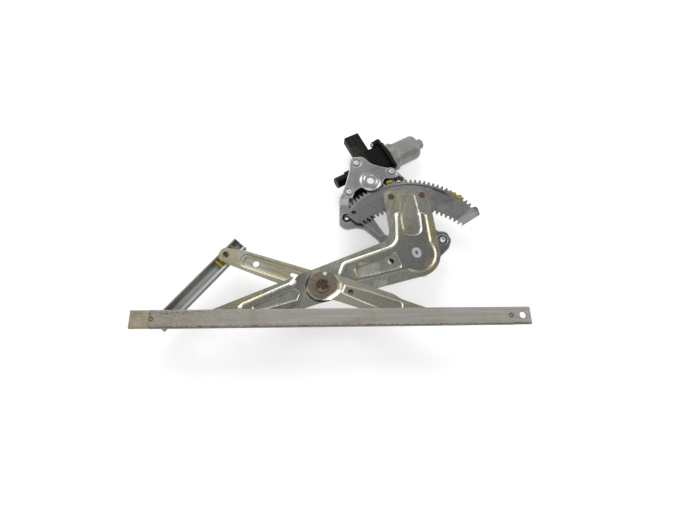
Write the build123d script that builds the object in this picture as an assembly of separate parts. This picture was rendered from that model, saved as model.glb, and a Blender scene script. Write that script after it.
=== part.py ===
from build123d import *
import os
from math import acos, atan2, cos, degrees, hypot, pi, radians, sin, tan

# Power window regulator of the crossed-arm kind, lying flat, in millimetres.
# +Z points from the door's inner panel to the glass, +Y is the way the glass rises, and X runs along
# the glass rail. The origin is on the lift pivot's axis, in the plane where the base plate is bolted down.

# ---------------------------------------------------------------- driving dimensions
# Mechanism
half_arm = 142.5  # lift pivot to centre stud, and centre stud to each arm end
drawn_half_arm = 142.5  # the same for the arms as their corner lists below draw them
rest_angle = 19.65  # how far the lift arm points below the horizontal at rest, degrees

# Gears
gear_module = 2.25
sector_full_teeth = 107  # teeth on the sector's full circle
pinion_teeth = 10
pressure_angle = 20.0
profile_shift = 0.3  # outwards on the pinion, inwards on the sector
backlash = 0.24  # at the pitch circle
pinion_bearing = 117.17  # direction from the lift pivot to the pinion, degrees
sector_first_tooth = 41.88  # direction of the tooth nearest the end stop, degrees
sector_teeth = 30
drawn_sector_pitch = 120.375  # pitch radii that the base plate's and the gear head's corners are drawn for
drawn_pinion_pitch = 11.25
sector_left_end = 148.0
sector_thickness = 3.0
nest_shift = 46.0  # the inner edge is the outer edge of the next blank in the strip, this far down
nest_direction = 87.5
pinion_width = 4.4
pinion_gap = 0.4  # between the pinion's face and the bridge over it

# Base plate
base_sheet = 1.8
foot_height = 5.0  # mounting face up to the back of the plate
foot_radius = 6.4
foot_flare = 1.8
bridge_gap = 1.0  # air between the sector and the bridge over it
mount_nut_height = 4.5
mount_thread_radius = 3.0
mount_nut_radius = 5.2
motor_screw_circle = 37.5
motor_screw_bearings = (28.0, 122.0, 210.0)
motor_screw_radius = 2.4
seat_drop = 1.5  # motor screw seats below the bridge's face
motor_opening_radius = 37.5
collar_radius = 16.5
collar_crest = 11.5
collar_floor = 8.6
collar_rise = 2.0
cap_radius = 5.2

# Arms
lift_sheet = 2.2
sector_air = 1.0  # air between base plate and sector
emboss = 1.5
arm_sheet = 2.0
arm_gap = 0.5  # air between the lift arm and each equalizer arm
joggle = 2.2  # the rail arm's head lies this much behind the rest of it
head_draft = 64.0
running_fit = 0.05
pivot_radius = 6.0
stud_foot_radius = 9.0  # deep head that backs the pivot against the door panel
pivot_washer_radius = 7.8
pivot_washer_height = 0.7
stud_radius = 7.0
stud_head_radius = 10.6
stud_head_height = 1.5
rivet_radius = 4.0
rivet_head_radius = 5.0
rivet_head_height = 0.8

# Glass rail
rail_left = -381.5
rail_right = 143.4
rail_width = 23.7
rail_depth = 7.6
rail_sheet = 1.3
rail_slot = 12.6
rail_air = 3.5  # air between the rail arm and the rail
end_left_length = 24.8
end_right_length = 22.4
end_overlap = 12.0
end_depth = 5.2
glass_hole_radius = 4.2
rail_rivet_radius = 1.6
shoe_length = 34.0
shoe_air = 0.3
rail_pin_radius = 4.0
pin_shoulder_radius = 5.0

# Guide channel
guide_bearing = 229.4  # direction from the guide pin down the channel, degrees
guide_long_end = 129.7
guide_short_end = 25.5
guide_width = 21.0
guide_offset = 0.8  # the channel's middle lies this far to one side of the guide pin
guide_depth = 10.0
guide_sheet = 1.3
guide_slot = 15.2
guide_drop = 2.0  # air between the guide arm and the channel's lips
guide_pin_radius = 3.5
guide_pin_head_radius = 4.6

# Motor
worm_offset = 31.5  # worm axis to output axis
worm_direction = 28.4
worm_depth = -8.7  # height of the worm's axis
housing_radius = 32.0
housing_wall = 3.0
housing_back = -20.0
housing_front = 4.3
wheel_module = 1.0
wheel_teeth = 53
wheel_width = 9.0
worm_radius = 5.0
worm_root_radius = 3.8
worm_length = 26.0
worm_lead = 3.2
tunnel_radius = 10.5
tunnel_end = -39.6
tube_radius = 8.3
flange_thickness = 5.0
flange_half_width = 24.0
flange_ear = 30.0
flange_ear_radius = 5.2
flange_ear_length = 12.4
flange_tilt = 19.0
can_screw_head = 4.0
can_start = 54.5
can_length = 54.5
can_radius = 19.4
can_collar_radius = 22.6
can_flat = 16.5
can_wall = 1.6
can_boss_radius = 8.3
can_boss_length = 11.0
shaft_radius = 3.0
stack_radius = 11.6
stack_length = 24.0
stack_slots = 8
connector_direction = 116.5
connector_width = 25.0
connector_height = 16.0
connector_length = 36.0
connector_root = 10.0  # part of the shroud's length that is sunk in the brush box
connector_wall = 2.0
socket_depth = 16.0

# ---------------------------------------------------------------- heights, from the door panel up
flange_at = can_start - flange_thickness
base_back = foot_height
base_front = base_back + base_sheet
sector_back = base_front + sector_air
lift_back = sector_back + sector_thickness
lift_front = lift_back + lift_sheet
guide_arm_front = lift_back - arm_gap
guide_arm_back = guide_arm_front - arm_sheet
head_back = lift_front + arm_gap
head_front = head_back + arm_sheet
rail_arm_back = head_back + joggle
rail_arm_front = rail_arm_back + arm_sheet
bridge_back = lift_back + bridge_gap
bridge_front = bridge_back + base_sheet
rail_lip = rail_arm_front + rail_air
rail_face = rail_lip + rail_depth
guide_lip = guide_arm_back - guide_drop
guide_back = guide_lip - guide_depth
lift_hub_front = lift_front + emboss
lift_hub_back = lift_back + emboss
stud_back = guide_arm_back - stud_head_height


# ---------------------------------------------------------------- places in plan
def polar(angle, radius, centre=(0.0, 0.0)):
    """Point at a direction in degrees and a distance from a centre."""
    return (centre[0] + radius * cos(radians(angle)), centre[1] + radius * sin(radians(angle)))


def outward(point, growth):
    """Point moved straight away from the lift pivot."""
    share = 1.0 + growth / hypot(point[0], point[1])
    return (point[0] * share, point[1] * share)


def carried(corners, growth, direction, start, full):
    """Corners moved along a direction by a growth: not at all before start, wholly from full on."""
    heading = (cos(radians(direction)), sin(radians(direction)))
    moved = []
    for x, y, corner_radius in corners:
        share = (x * heading[0] + y * heading[1] - start) / (full - start)
        step = growth * min(max(share, 0.0), 1.0)
        moved.append((x + step * heading[0], y + step * heading[1], corner_radius))
    return moved


pivot = (0.0, 0.0)
stud = polar(180.0 + rest_angle, half_arm)
lift_end = polar(180.0 + rest_angle, 2 * half_arm)
guide_end = polar(180.0 - rest_angle, half_arm, stud)
rail_end = polar(-rest_angle, half_arm, stud)
sector_pitch = gear_module * sector_full_teeth / 2
pinion_pitch = gear_module * pinion_teeth / 2
output = polar(pinion_bearing, sector_pitch + pinion_pitch)
arm_growth = half_arm - drawn_half_arm
sector_growth = sector_pitch - drawn_sector_pitch
motor_step = polar(pinion_bearing, sector_growth + pinion_pitch - drawn_pinion_pitch)


def with_motor(point):
    """Point that goes along when larger gears push the motor outwards; a corner keeps its radius."""
    return (point[0] + motor_step[0], point[1] + motor_step[1], *point[2:])


worm_foot = polar(worm_direction + 90.0, worm_offset, output)
screw_points = [polar(angle, motor_screw_circle, output) for angle in motor_screw_bearings]
left_foot = (-96.9, 59.0)
ear_foot = (42.5, 24.0)
top_foot = with_motor((-14.5, 123.5))
feet = (left_foot, ear_foot, top_foot)
sector_axis = 94.05
sector_rivet_radius = sector_pitch - 24.675
sector_rivet_spread = 14.15
sector_rivet_points = [
    polar(sector_axis + side * sector_rivet_spread, sector_rivet_radius) for side in (-1, 1)
]
motor_frame = Pos(worm_foot[0], worm_foot[1], worm_depth) * Rot(0, 0, worm_direction)
rail_arm_frame = Pos(stud[0], stud[1], 0) * Rot(0, 0, -rest_angle)
guide_arm_frame = Pos(stud[0], stud[1], 0) * Rot(0, 0, 180.0 - rest_angle)
guide_frame = Pos(guide_end[0], guide_end[1], 0) * Rot(0, 0, guide_bearing) * Pos(0, guide_offset, 0)


# ---------------------------------------------------------------- helpers
def region(corners):
    """Flat face whose corners are (x, y, corner radius)."""
    follow = corners[1:] + corners[:1]
    doubled_area = sum(a[0] * b[1] - b[0] * a[1] for a, b in zip(corners, follow))
    ordered = corners if doubled_area > 0 else corners[::-1]
    points = [(x, y) for x, y, _ in ordered]
    rounds = [corner_radius for _, _, corner_radius in ordered]
    return make_face(FilletPolyline(*points, radius=rounds, close=True))


def disc(centre, radius):
    """Flat round face."""
    return Pos(centre[0], centre[1], 0) * Circle(radius)


def slab(face, bottom, top, draft=0.0):
    """Solid from a face in plan between two heights; draft narrows it upwards."""
    return extrude(Pos(0, 0, bottom) * face, amount=top - bottom, taper=draft)


def post(centre, radius, bottom, top):
    """Upright cylinder between two heights."""
    return Pos(centre[0], centre[1], (bottom + top) / 2) * Cylinder(radius, top - bottom)


def ring(centre, outer, inner, bottom, top):
    """Upright tube between two heights."""
    return post(centre, outer, bottom, top) - post(centre, inner, bottom - 1, top + 1)


def stadium(start, end, radius):
    """Flat face that covers everything within a radius of a line."""
    length = hypot(end[0] - start[0], end[1] - start[1])
    angle = degrees(atan2(end[1] - start[1], end[0] - start[0]))
    middle = ((start[0] + end[0]) / 2, (start[1] + end[1]) / 2)
    return Pos(middle[0], middle[1], 0) * Rot(0, 0, angle) * SlotCenterToCenter(length, 2 * radius)


def raised(sheet, face, front, height, thickness, draft=50.0):
    """Sheet with a panel pressed forwards: a drafted boss in front and the same hollow behind."""
    boss = slab(face, front, front + height, draft)
    return sheet + boss - Pos(0, 0, -thickness) * boss


def sunk(sheet, face, back, depth, thickness, draft=50.0):
    """Sheet with a panel pressed backwards."""
    boss = extrude(Pos(0, 0, back) * face, amount=-depth, taper=draft)
    return sheet + boss - Pos(0, 0, thickness) * boss


def hex_nut(centre, across_corners_radius, thread_radius, bottom, top):
    """Weld nut: six-sided body with a round collar on its seat and a threaded bore."""
    body = slab(Pos(centre[0], centre[1], 0) * RegularPolygon(across_corners_radius, 6), bottom, top)
    body = body & Pos(centre[0], centre[1], bottom) * Cone(
        across_corners_radius + 3.2, across_corners_radius - 0.9, top - bottom,
        align=(Align.CENTER, Align.CENTER, Align.MIN),
    )
    return body - post(centre, thread_radius, bottom - 1, top + 1)


def revolved(profile, frame=Pos(0, 0, 0)):
    """Solid turned about the frame's X axis from (x, radius) points."""
    return frame * revolve(make_face(Polyline(*profile, close=True)), Axis.X, 360)


def turned(profile, centre):
    """Solid turned about an upright axis from (radius, height) points."""
    face = make_face(Polyline(*[(radius, 0, height) for radius, height in profile], close=True))
    return Pos(centre[0], centre[1], 0) * revolve(face, Axis.Z, 360)


def involute(angle):
    """Involute function of an angle in radians."""
    return tan(angle) - angle


def tooth(teeth, shift, centre_angle, steps):
    """Points of one involute tooth, by direction, from its right root to its left root."""
    pitch_radius = gear_module * teeth / 2
    base_radius = pitch_radius * cos(radians(pressure_angle))
    tip = pitch_radius + gear_module * (1 + shift)
    root = pitch_radius - gear_module * (1.25 - shift)
    half = (pi / 2 + 2 * shift * tan(radians(pressure_angle))) / teeth - backlash / 2 / pitch_radius
    start = max(root, base_radius)
    radii = [start + (tip - start) * step / (steps - 1) for step in range(steps)]
    flank = []
    for radius in radii:
        turn = half + involute(radians(pressure_angle)) - involute(acos(min(1.0, base_radius / radius)))
        flank.append((radius, degrees(turn)))
    if root < base_radius:
        flank.insert(0, (root, flank[0][1]))
    right = [polar(centre_angle - turn, radius) for radius, turn in flank]
    left = [polar(centre_angle + turn, radius) for radius, turn in reversed(flank)]
    return right + left


# ---------------------------------------------------------------- base plate and its fasteners
def base_outline():
    """Main level of the base plate, before its openings."""
    return region([
        with_motor((-107.5, 88.0, 2.0)), (-108.5, 47.0, 8.0), (-100.0, 39.5, 9.0), (-76.0, 43.5, 22.0),
        (-52.0, 22.0, 30.0), (-36.0, -14.0, 20.0), (-17.0, -33.0, 14.0), (14.0, -33.0, 14.0),
        (31.0, -8.0, 12.0), (50.0, 10.0, 8.0), (55.5, 22.0, 9.0), (50.0, 36.5, 9.0),
        (36.0, 37.5, 6.0), (22.0, 60.0, 15.0), with_motor((8.0, 104.0, 20.0)),
        with_motor((-3.0, 116.0, 8.0)), with_motor((-4.4, 124.8, 4.0)), with_motor((-16.8, 139.2, 3.0)),
    ])


def bridge_outline():
    """Raised level of the base plate, over the pinion and the sector."""
    body = region([with_motor(corner) for corner in (
        (-106.5, 88.0, 2.0), (-97.0, 114.0, 40.0), (-91.0, 136.0, 30.0), (-90.0, 158.5, 9.0),
        (-69.5, 160.5, 9.0), (-57.0, 147.5, 16.0), (-40.0, 142.0, 20.0), (-20.0, 139.0, 2.0),
        (-20.0, 124.0, 2.0), (-38.0, 122.5, 5.0), (-45.0, 106.0, 8.0), (-76.0, 106.0, 6.0),
        (-84.5, 99.0, 6.0), (-88.5, 88.0, 2.0),
    )])
    return body + disc(output, collar_radius)


def sloped_wall(high_point, low_point, width):
    """Strip of sheet from the bridge's edge down to the main level."""
    run = hypot(low_point[0] - high_point[0], low_point[1] - high_point[1])
    direction = degrees(atan2(low_point[1] - high_point[1], low_point[0] - high_point[0]))
    overlap = 0.8
    profile = [
        (-overlap, bridge_back), (-overlap, bridge_front), (0, bridge_front), (run, base_front),
        (run + overlap, base_front), (run + overlap, base_back), (run - 0.6, base_back), (-0.6, bridge_back),
    ]
    face = make_face(Polyline(*[(x, 0, z) for x, z in profile], close=True))
    wall = extrude(face, amount=width / 2, both=True)
    return Pos(high_point[0], high_point[1], 0) * Rot(0, 0, direction) * wall


def foot_shell(centre):
    """Dished mounting foot, from the main level down to the door panel."""
    top_radius = foot_radius + foot_flare
    wall = base_sheet
    return turned([
        (0, 0), (foot_radius, 0), (top_radius, base_back), (top_radius + 0.8, base_back),
        (top_radius + 0.8, base_front), (top_radius - 0.9, base_front), (foot_radius - 1.2, wall), (0, wall),
    ], centre)


def make_base_plate():
    """Stamped and galvanised plate that carries the pivot, the motor and three mounting feet."""
    openings = disc(output, motor_opening_radius) + region([
        (-33.0, 27.0, 4.0), (-42.0, 32.0, 4.0), (-60.0, 62.0, 6.0), (-61.0, 70.0, 5.0),
        (-38.0, 80.0, 6.0), (-33.0, 60.0, 10.0),
    ])
    for centre in screw_points:
        openings += disc(centre, 8.2)
    plate = slab(base_outline() - openings, base_back, base_front)
    strut_bead = stadium((-68.5, 50.5), (-49.0, 32.0), 3.0)
    plate = raised(plate, strut_bead, base_front, 0.8, base_sheet)
    plate += slab(bridge_outline(), bridge_back, bridge_front)
    plate += sloped_wall(with_motor((-99.9, 88.4)), with_motor((-100.2, 80.0)), 13.6)
    plate += sloped_wall(with_motor((-20.3, 131.0)), with_motor((-15.5, 131.0)), 10.0)
    for centre in feet:
        plate -= post(centre, foot_radius + foot_flare - 0.1, base_back - 1, base_front + 1)
        plate += foot_shell(centre)
        plate -= post(centre, mount_thread_radius + 0.4, -1, base_front)
    for centre in screw_points:
        plate = sunk(plate, disc(centre, 8.0), bridge_back, seat_drop, base_sheet, 30.0)
        plate -= post(centre, motor_screw_radius + 0.3, bridge_back - 4, bridge_front + 1)
    plate -= post(output, collar_radius - 1.5, bridge_back - 1, bridge_front + 1)
    plate += make_collar()
    return plate - post(pivot, pivot_radius - 1.0, 0, base_front + 1)


def make_collar():
    """Turned-up collar of the bridge, round the output shaft."""
    inner = cap_radius + running_fit
    rise = bridge_front + collar_rise
    floor = bridge_front + 0.3
    return turned([
        (collar_radius - 0.4, bridge_back), (collar_radius - 0.4, bridge_front), (collar_crest + 1.3, rise),
        (collar_crest - 0.4, rise), (collar_floor, floor), (inner, floor), (inner, floor - base_sheet),
        (collar_floor + 0.8, floor - base_sheet), (collar_crest, rise - base_sheet),
        (collar_crest + 0.6, rise - base_sheet), (collar_radius - 1.8, bridge_back),
    ], output)


def make_weld_nuts():
    """Nuts welded inside the three mounting feet."""
    return [
        hex_nut(centre, mount_nut_radius, mount_thread_radius, base_sheet, base_sheet + mount_nut_height)
        for centre in feet
    ]


def make_pivot_stud():
    """Shouldered stud riveted to the base plate; the lift arm turns on it."""
    hub_top = lift_hub_front + pivot_washer_height
    clinch = pivot_radius - 1.0
    return turned([
        (0, 0), (stud_foot_radius - 0.6, 0), (stud_foot_radius, 0.6), (stud_foot_radius, base_back),
        (clinch, base_back),
        (clinch, base_front), (pivot_radius, base_front), (pivot_radius, lift_hub_front + 0.05),
        (3.2, lift_hub_front + 0.05), (3.2, hub_top + 0.1), (1.6, hub_top + 0.1), (0.9, hub_top - 0.6),
        (0, hub_top - 0.6),
    ], pivot)


def make_pivot_spacer():
    """Ring on the stud between the base plate and the lift arm."""
    return ring(pivot, 12.0, pivot_radius, base_front, lift_hub_back - 0.05)


def make_pivot_washer():
    """Washer clinched on the end of the pivot stud, over the lift arm."""
    bottom = lift_hub_front + 0.05
    return ring(pivot, pivot_washer_radius, 3.2, bottom, bottom + pivot_washer_height)


def make_motor_screws():
    """Screws through the bridge into the gear housing's posts."""
    seat = bridge_front - seat_drop
    screws = []
    for centre in screw_points:
        screw = turned([
            (0, seat - 12.0), (motor_screw_radius, seat - 12.0), (motor_screw_radius, seat), (4.3, seat),
            (4.3, seat + 1.2), (3.4, seat + 2.2), (0, seat + 2.4),
        ], centre)
        cross = Box(4.4, 1.0, 2.0) + Box(1.0, 4.4, 2.0)
        screws.append(screw - Pos(centre[0], centre[1], seat + 2.2) * Rot(0, 0, 20) * cross)
    return screws


# ---------------------------------------------------------------- lift arm
def sector_blank():
    """Outline of the toothed sector: end stop, teeth and rounded left end, closed through the pivot."""
    root = sector_pitch - gear_module * (1.25 + profile_shift)
    points = [polar(31.6, 60.0), polar(31.6, sector_pitch - 0.775)]
    points += [polar(36.2, sector_pitch + 4.025), polar(38.2, sector_pitch + 3.225)]
    points.append(polar(sector_first_tooth - 2.3, root))
    for index in range(sector_teeth):
        centre_angle = sector_first_tooth + index * 360.0 / sector_full_teeth
        points += tooth(sector_full_teeth, -profile_shift, centre_angle, 3)
    points += [polar(sector_left_end - 4.6, root), polar(sector_left_end - 1.6, root - 1.4)]
    points += [polar(sector_left_end, root - 5.0), polar(sector_left_end + 1.5, sector_pitch - 21.375)]
    points += [polar(sector_left_end + 0.5, 60.0)]
    return make_face(Polyline(*points, close=True))


def make_sector_gear():
    """Toothed sector, blanked from strip so that its inner edge carries the next blank's teeth."""
    blank = sector_blank()
    shift = polar(nest_direction + 180.0, nest_shift)
    gear = slab(blank, sector_back, lift_back)
    gear -= slab(Pos(shift[0], shift[1], 0) * blank, sector_back - 1, lift_back + 1)
    gear -= post(pivot, sector_pitch - nest_shift - 0.375, sector_back - 1, lift_back + 1)
    gear -= post(outward((-86.8, 65.2), sector_growth), 3.4, sector_back - 1, lift_back + 1)
    for centre in sector_rivet_points:
        gear -= post(centre, rivet_radius, sector_back - 1, lift_back + 1)
    return gear


def lift_carried(corners):
    """Corners of the lift arm: those by the stud move with it, and the far ones with the slider pin."""
    direction = 180.0 + rest_angle
    return carried(carried(corners, arm_growth, direction, 190.0, 225.0), arm_growth, direction, 100.0, 135.0)


def lift_outline():
    """Lift arm: gear head, round hub on the pivot, and the arm out to its slider pin."""
    head = [(*outward(corner[:2], sector_growth), corner[2]) for corner in (
        (24.6, 104.9, 7.0), (-41.6, 100.2, 8.0),
    )]
    return region(head + lift_carried([
        (-41.2, 86.0, 20.0), (-34.9, 22.4, 24.0),
        (-285.0, -81.2, 9.0), (-289.5, -103.6, 9.0), (-222.0, -101.5, 40.0), (-142.0, -73.5, 80.0),
        (36.9, -26.2, 34.8), (30.4, 56.0, 60.0),
    ]))


def hub_panel():
    """Raised field round the pivot, open at the top round the tongue."""
    field = region([
        (19.6, 63.5, 3.0), (-27.0, 63.5, 3.0), (-28.5, 13.0, 20.0), (-106.5, -15.0, 10.0),
        (-113.0, -32.0, 8.0), (-103.0, -48.0, 7.0), (-12.0, -25.5, 6.0), (24.0, 18.0, 10.0),
    ])
    return field + disc(pivot, 28.6) - stadium((-2.5, 46.0), (-6.5, 110.0), 15.6)


def make_lift_arm():
    """Stamped lift arm with its raised fields, tongue and sunk panels."""
    arm = slab(lift_outline(), lift_back, lift_front)
    arm = raised(arm, hub_panel(), lift_front, emboss, lift_sheet)
    arm = raised(arm, stadium((-2.4, 46.0), (-5.2, 86.0), 8.6), lift_front, emboss, lift_sheet)
    outer_field = region(lift_carried([
        (-247.5, -76.5, 4.0), (-243.0, -72.0, 3.0), (-180.0, -42.4, 8.0), (-161.2, -44.0, 7.0),
        (-161.2, -71.0, 8.0), (-214.0, -90.5, 20.0), (-250.0, -93.0, 5.0),
    ]))
    arm = raised(arm, outer_field, lift_front, emboss, lift_sheet)
    hub_pocket = region([(-91.0, -24.5, 5.0), (-87.0, -38.0, 4.0), (-21.0, -20.8, 5.0), (-31.0, 3.0, 5.0)])
    arm = sunk(arm, hub_pocket, lift_hub_back, emboss, lift_sheet)
    outer_pocket = region(lift_carried([
        (-228.0, -76.0, 3.0), (-172.5, -51.4, 6.0), (-164.8, -57.5, 4.0), (-168.5, -68.0, 5.0),
        (-213.0, -80.6, 20.0), (-228.0, -84.5, 3.0),
    ]))
    arm = sunk(arm, outer_pocket, lift_hub_back, emboss, lift_sheet)
    arm -= post(pivot, pivot_radius + running_fit, lift_back - 1, lift_front + 4)
    arm -= post(stud, stud_radius + running_fit, lift_back - 1, lift_front + 4)
    arm -= post((-37.3, -12.4), 4.4, lift_back - 1, lift_front + 4)
    arm -= post(lift_end, rail_pin_radius, lift_back - 1, lift_front + 4)
    for centre in sector_rivet_points:
        arm -= post(centre, rivet_radius, lift_back - 1, lift_front + 4)
    return arm


def make_sector_rivets():
    """Rivets that hold the sector to the back of the lift arm."""
    return [
        turned([
            (0, sector_back - 0.4), (rivet_radius + 0.3, sector_back - 0.4),
            (rivet_radius + 0.3, sector_back),
            (rivet_radius, sector_back), (rivet_radius, lift_front), (rivet_head_radius, lift_front),
            (rivet_head_radius - 0.4, lift_front + rivet_head_height - 0.2),
            (rivet_head_radius - 1.6, lift_front + rivet_head_height), (0, lift_front + rivet_head_height),
        ], centre)
        for centre in sector_rivet_points
    ]


def rail_pin(centre, plate_back, plate_front):
    """Shouldered pin from an arm up into a rail shoe; its foot is clinched flush in the arm."""
    shoe_bottom = rail_lip + rail_sheet + shoe_air
    pin_top = rail_face - rail_sheet - shoe_air - 0.4
    return turned([
        (0, plate_back), (rail_pin_radius, plate_back), (rail_pin_radius, plate_front),
        (pin_shoulder_radius + 1.0, plate_front), (pin_shoulder_radius + 1.0, plate_front + 1.2),
        (pin_shoulder_radius, plate_front + 1.2), (pin_shoulder_radius, shoe_bottom - 0.1),
        (rail_pin_radius, shoe_bottom - 0.1), (rail_pin_radius, pin_top - 0.5),
        (rail_pin_radius - 0.5, pin_top), (0, pin_top),
    ], centre)


# ---------------------------------------------------------------- equalizer
def half_carried(corners):
    """Corners of an equalizer half in its own plan, carried along with its length."""
    return carried(corners, arm_growth, 0.0, 60.0, 96.0)


def make_guide_arm():
    """Equalizer half behind the lift arm, out to the guide shoe, with its long sunk panel."""
    outline = region(half_carried([
        (-22.0, -19.0, 17.0), (118.0, -14.4, 30.0), (152.4, -8.6, 9.0), (151.8, 10.4, 9.0),
        (128.0, 12.6, 30.0), (-20.0, 18.5, 17.0),
    ]))
    arm = slab(guide_arm_frame * outline, guide_arm_back, guide_arm_front)
    pocket = guide_arm_frame * region(half_carried([
        (29.0, -9.6, 6.0), (116.0, -8.6, 7.4), (116.0, 6.8, 7.4), (29.0, 6.8, 6.0),
    ]))
    arm = sunk(arm, pocket, guide_arm_back, 1.1, arm_sheet)
    low, high = guide_arm_back - 3, guide_arm_front + 1
    arm -= slab(guide_arm_frame * disc((98.0 + arm_growth, -1.0), 4.3), low, high)
    arm -= slab(guide_arm_frame * stadium((39.0, -2.6), (45.0, -2.6), 3.1), low, high)
    arm -= post(guide_end, guide_pin_head_radius, low, high)
    return arm - post(stud, stud_radius - 1.0, low, high)


def rail_arm_head(grow):
    """Polygonal head round the stud, in the arm's own plan, wider by grow."""
    return region([
        (-24.0 - grow, 25.0 + grow, 1.0), (-24.0 - grow, -26.0 - grow, 1.0), (2.8 + grow, -26.0 - grow, 1.0),
        (19.6 + grow, -6.5, 1.0), (22.6 + grow, 0.4, 1.0), (19.8 + grow, 8.3 + grow, 1.0),
        (-1.0 + grow, 25.0 + grow, 1.0),
    ])


def make_rail_arm():
    """Equalizer half in front of the lift arm: faceted head on the stud, joggled arm to the rail shoe."""
    outline = rail_arm_frame * region(half_carried([
        (-18.0, 18.6, 3.0), (-20.4, 3.0, 6.0), (-19.4, -14.5, 3.0), (-10.5, -20.0, 4.0), (-3.4, -22.6, 4.0),
        (8.0, -19.8, 6.0), (20.0, -15.0, 20.0), (120.0, -13.4, 25.0), (152.0, -3.0, 8.0),
        (151.5, 15.6, 8.0), (108.0, 16.0, 25.0), (96.0, 19.4, 25.0), (2.0, 20.2, 10.0),
    ]))
    arm = slab(outline, head_back, rail_arm_front)
    front_frame = Pos(0, 0, head_front) * rail_arm_frame
    back_frame = Pos(0, 0, head_back) * rail_arm_frame
    dish = extrude(front_frame * rail_arm_head(0.0), amount=joggle, taper=-head_draft)
    keep = extrude(back_frame * rail_arm_head(1.4), amount=joggle, taper=-head_draft)
    arm -= dish
    arm -= slab(outline, head_back, rail_arm_back) - keep
    field = rail_arm_frame * region(half_carried([
        (27.4, -3.6, 1.0), (62.0, -6.6, 60.0), (115.0, -8.4, 7.0), (112.0, 12.6, 7.0),
        (60.0, 12.2, 60.0), (27.8, 9.8, 1.0),
    ]))
    arm = raised(arm, field, rail_arm_front, 1.0, arm_sheet, 50.0)
    arm -= slab(rail_arm_frame * disc((39.1, 2.5), 3.6), head_back - 1, rail_arm_front + 2)
    arm -= post(rail_end, rail_pin_radius, head_back - 1, rail_arm_front + 2)
    return arm - post(stud, stud_radius - 1.0, head_back - 1, rail_arm_front + 2)


def make_centre_stud():
    """Stud that clamps both equalizer halves and turns in the lift arm."""
    clinch = stud_radius - 1.0
    return turned([
        (0, stud_back), (stud_head_radius - 2.0, stud_back), (stud_head_radius - 1.2, stud_back + 0.6),
        (stud_head_radius - 1.2, guide_arm_back), (clinch, guide_arm_back), (clinch, guide_arm_front),
        (stud_radius, guide_arm_front), (stud_radius, head_back), (clinch, head_back), (clinch, head_front),
        (stud_head_radius, head_front), (stud_head_radius, head_front + 0.7),
        (stud_head_radius - 1.2, head_front + stud_head_height),
        (stud_head_radius - 3.4, head_front + stud_head_height),
        (stud_head_radius - 4.4, head_front + 0.7), (1.5, head_front + 0.7),
        (0, head_front + 1.1),
    ], stud)


def make_friction_washers():
    """Thin washers that take up the air on both sides of the lift arm."""
    air = 0.06
    back = ring(stud, 12.0, stud_radius, guide_arm_front, lift_back - air)
    front = ring(stud, 12.0, stud_radius, lift_front + air, head_back)
    return [back, front]


def make_guide_pin():
    """Pin from the guide arm down into the guide shoe, clinched flush at the front."""
    shoe_top = guide_lip - guide_sheet - shoe_air
    pin_bottom = guide_back + guide_sheet + shoe_air + 0.4
    return turned([
        (0, pin_bottom), (guide_pin_radius - 0.5, pin_bottom), (guide_pin_radius, pin_bottom + 0.5),
        (guide_pin_radius, shoe_top + 0.1), (guide_pin_radius + 1.0, shoe_top + 0.1),
        (guide_pin_radius + 1.0, guide_lip + 0.4), (guide_pin_radius + 3.0, guide_lip + 0.4),
        (guide_pin_radius + 3.0, guide_arm_back), (guide_pin_head_radius, guide_arm_back),
        (guide_pin_head_radius, guide_arm_front), (1.8, guide_arm_front), (1.2, guide_arm_front - 0.7),
        (0, guide_arm_front - 0.7),
    ], guide_end)


# ---------------------------------------------------------------- shoes
def shoe(frame, width, bottom, top, pin_radius, pin_y=0.0):
    """Moulded nylon shoe: rounded block with relief grooves and a bore for its pin."""
    block = frame * slab(
        region([(-shoe_length / 2, -width / 2, 3.0), (shoe_length / 2, -width / 2, 3.0),
                (shoe_length / 2, width / 2, 3.0), (-shoe_length / 2, width / 2, 3.0)]), bottom, top)
    for side in (-1, 1):
        groove = region([
            (side * 8.0, -width / 2 + 2.4, 0.5), (side * 8.0 + side * 5.5, -width / 2 + 2.4, 0.5),
            (side * 8.0 + side * 5.5, width / 2 - 2.4, 0.5), (side * 8.0, width / 2 - 2.4, 0.5),
        ])
        block -= frame * slab(groove, top - (top - bottom) / 2, top + 1)
    return block - frame * post((0, pin_y), pin_radius + running_fit, bottom - 1, top + 1)


def rail_shoe(centre):
    """Shoe that runs in the glass rail."""
    width = rail_width - 2 * rail_sheet - 2 * shoe_air
    frame = Pos(centre[0], centre[1], 0)
    bottom = rail_lip + rail_sheet + shoe_air
    return shoe(frame, width, bottom, rail_face - rail_sheet - shoe_air, rail_pin_radius)


def make_guide_shoe():
    """Shoe that runs in the guide channel."""
    width = guide_width - 2 * guide_sheet - 2 * shoe_air
    bottom = guide_back + guide_sheet + shoe_air
    top = guide_lip - guide_sheet - shoe_air
    return shoe(guide_frame, width, bottom, top, guide_pin_radius, -guide_offset)


# ---------------------------------------------------------------- channels
def channel(length, width, depth, sheet, slot, web_up):
    """Rolled C section along X, centred across Y, from height 0 to its depth."""
    bend = 1.2
    outer = Pos(0, 0, depth / 2) * Box(length, width, depth)
    outer = fillet(outer.edges().filter_by(Axis.X), bend)
    inner = Pos(0, 0, depth / 2) * Box(length + 2, width - 2 * sheet, depth - 2 * sheet)
    lip_height = sheet + 1
    lip_at = -0.5 + lip_height / 2 - 0.5 if web_up else depth - lip_height / 2 + 0.5 + 0.5
    mouth = Pos(0, 0, lip_at) * Box(length + 2, slot, lip_height + 1)
    return outer - inner - mouth


rail_middle_y = rail_end[1]
rail_body_left = rail_left + end_left_length
rail_body_right = rail_right - end_right_length


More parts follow.
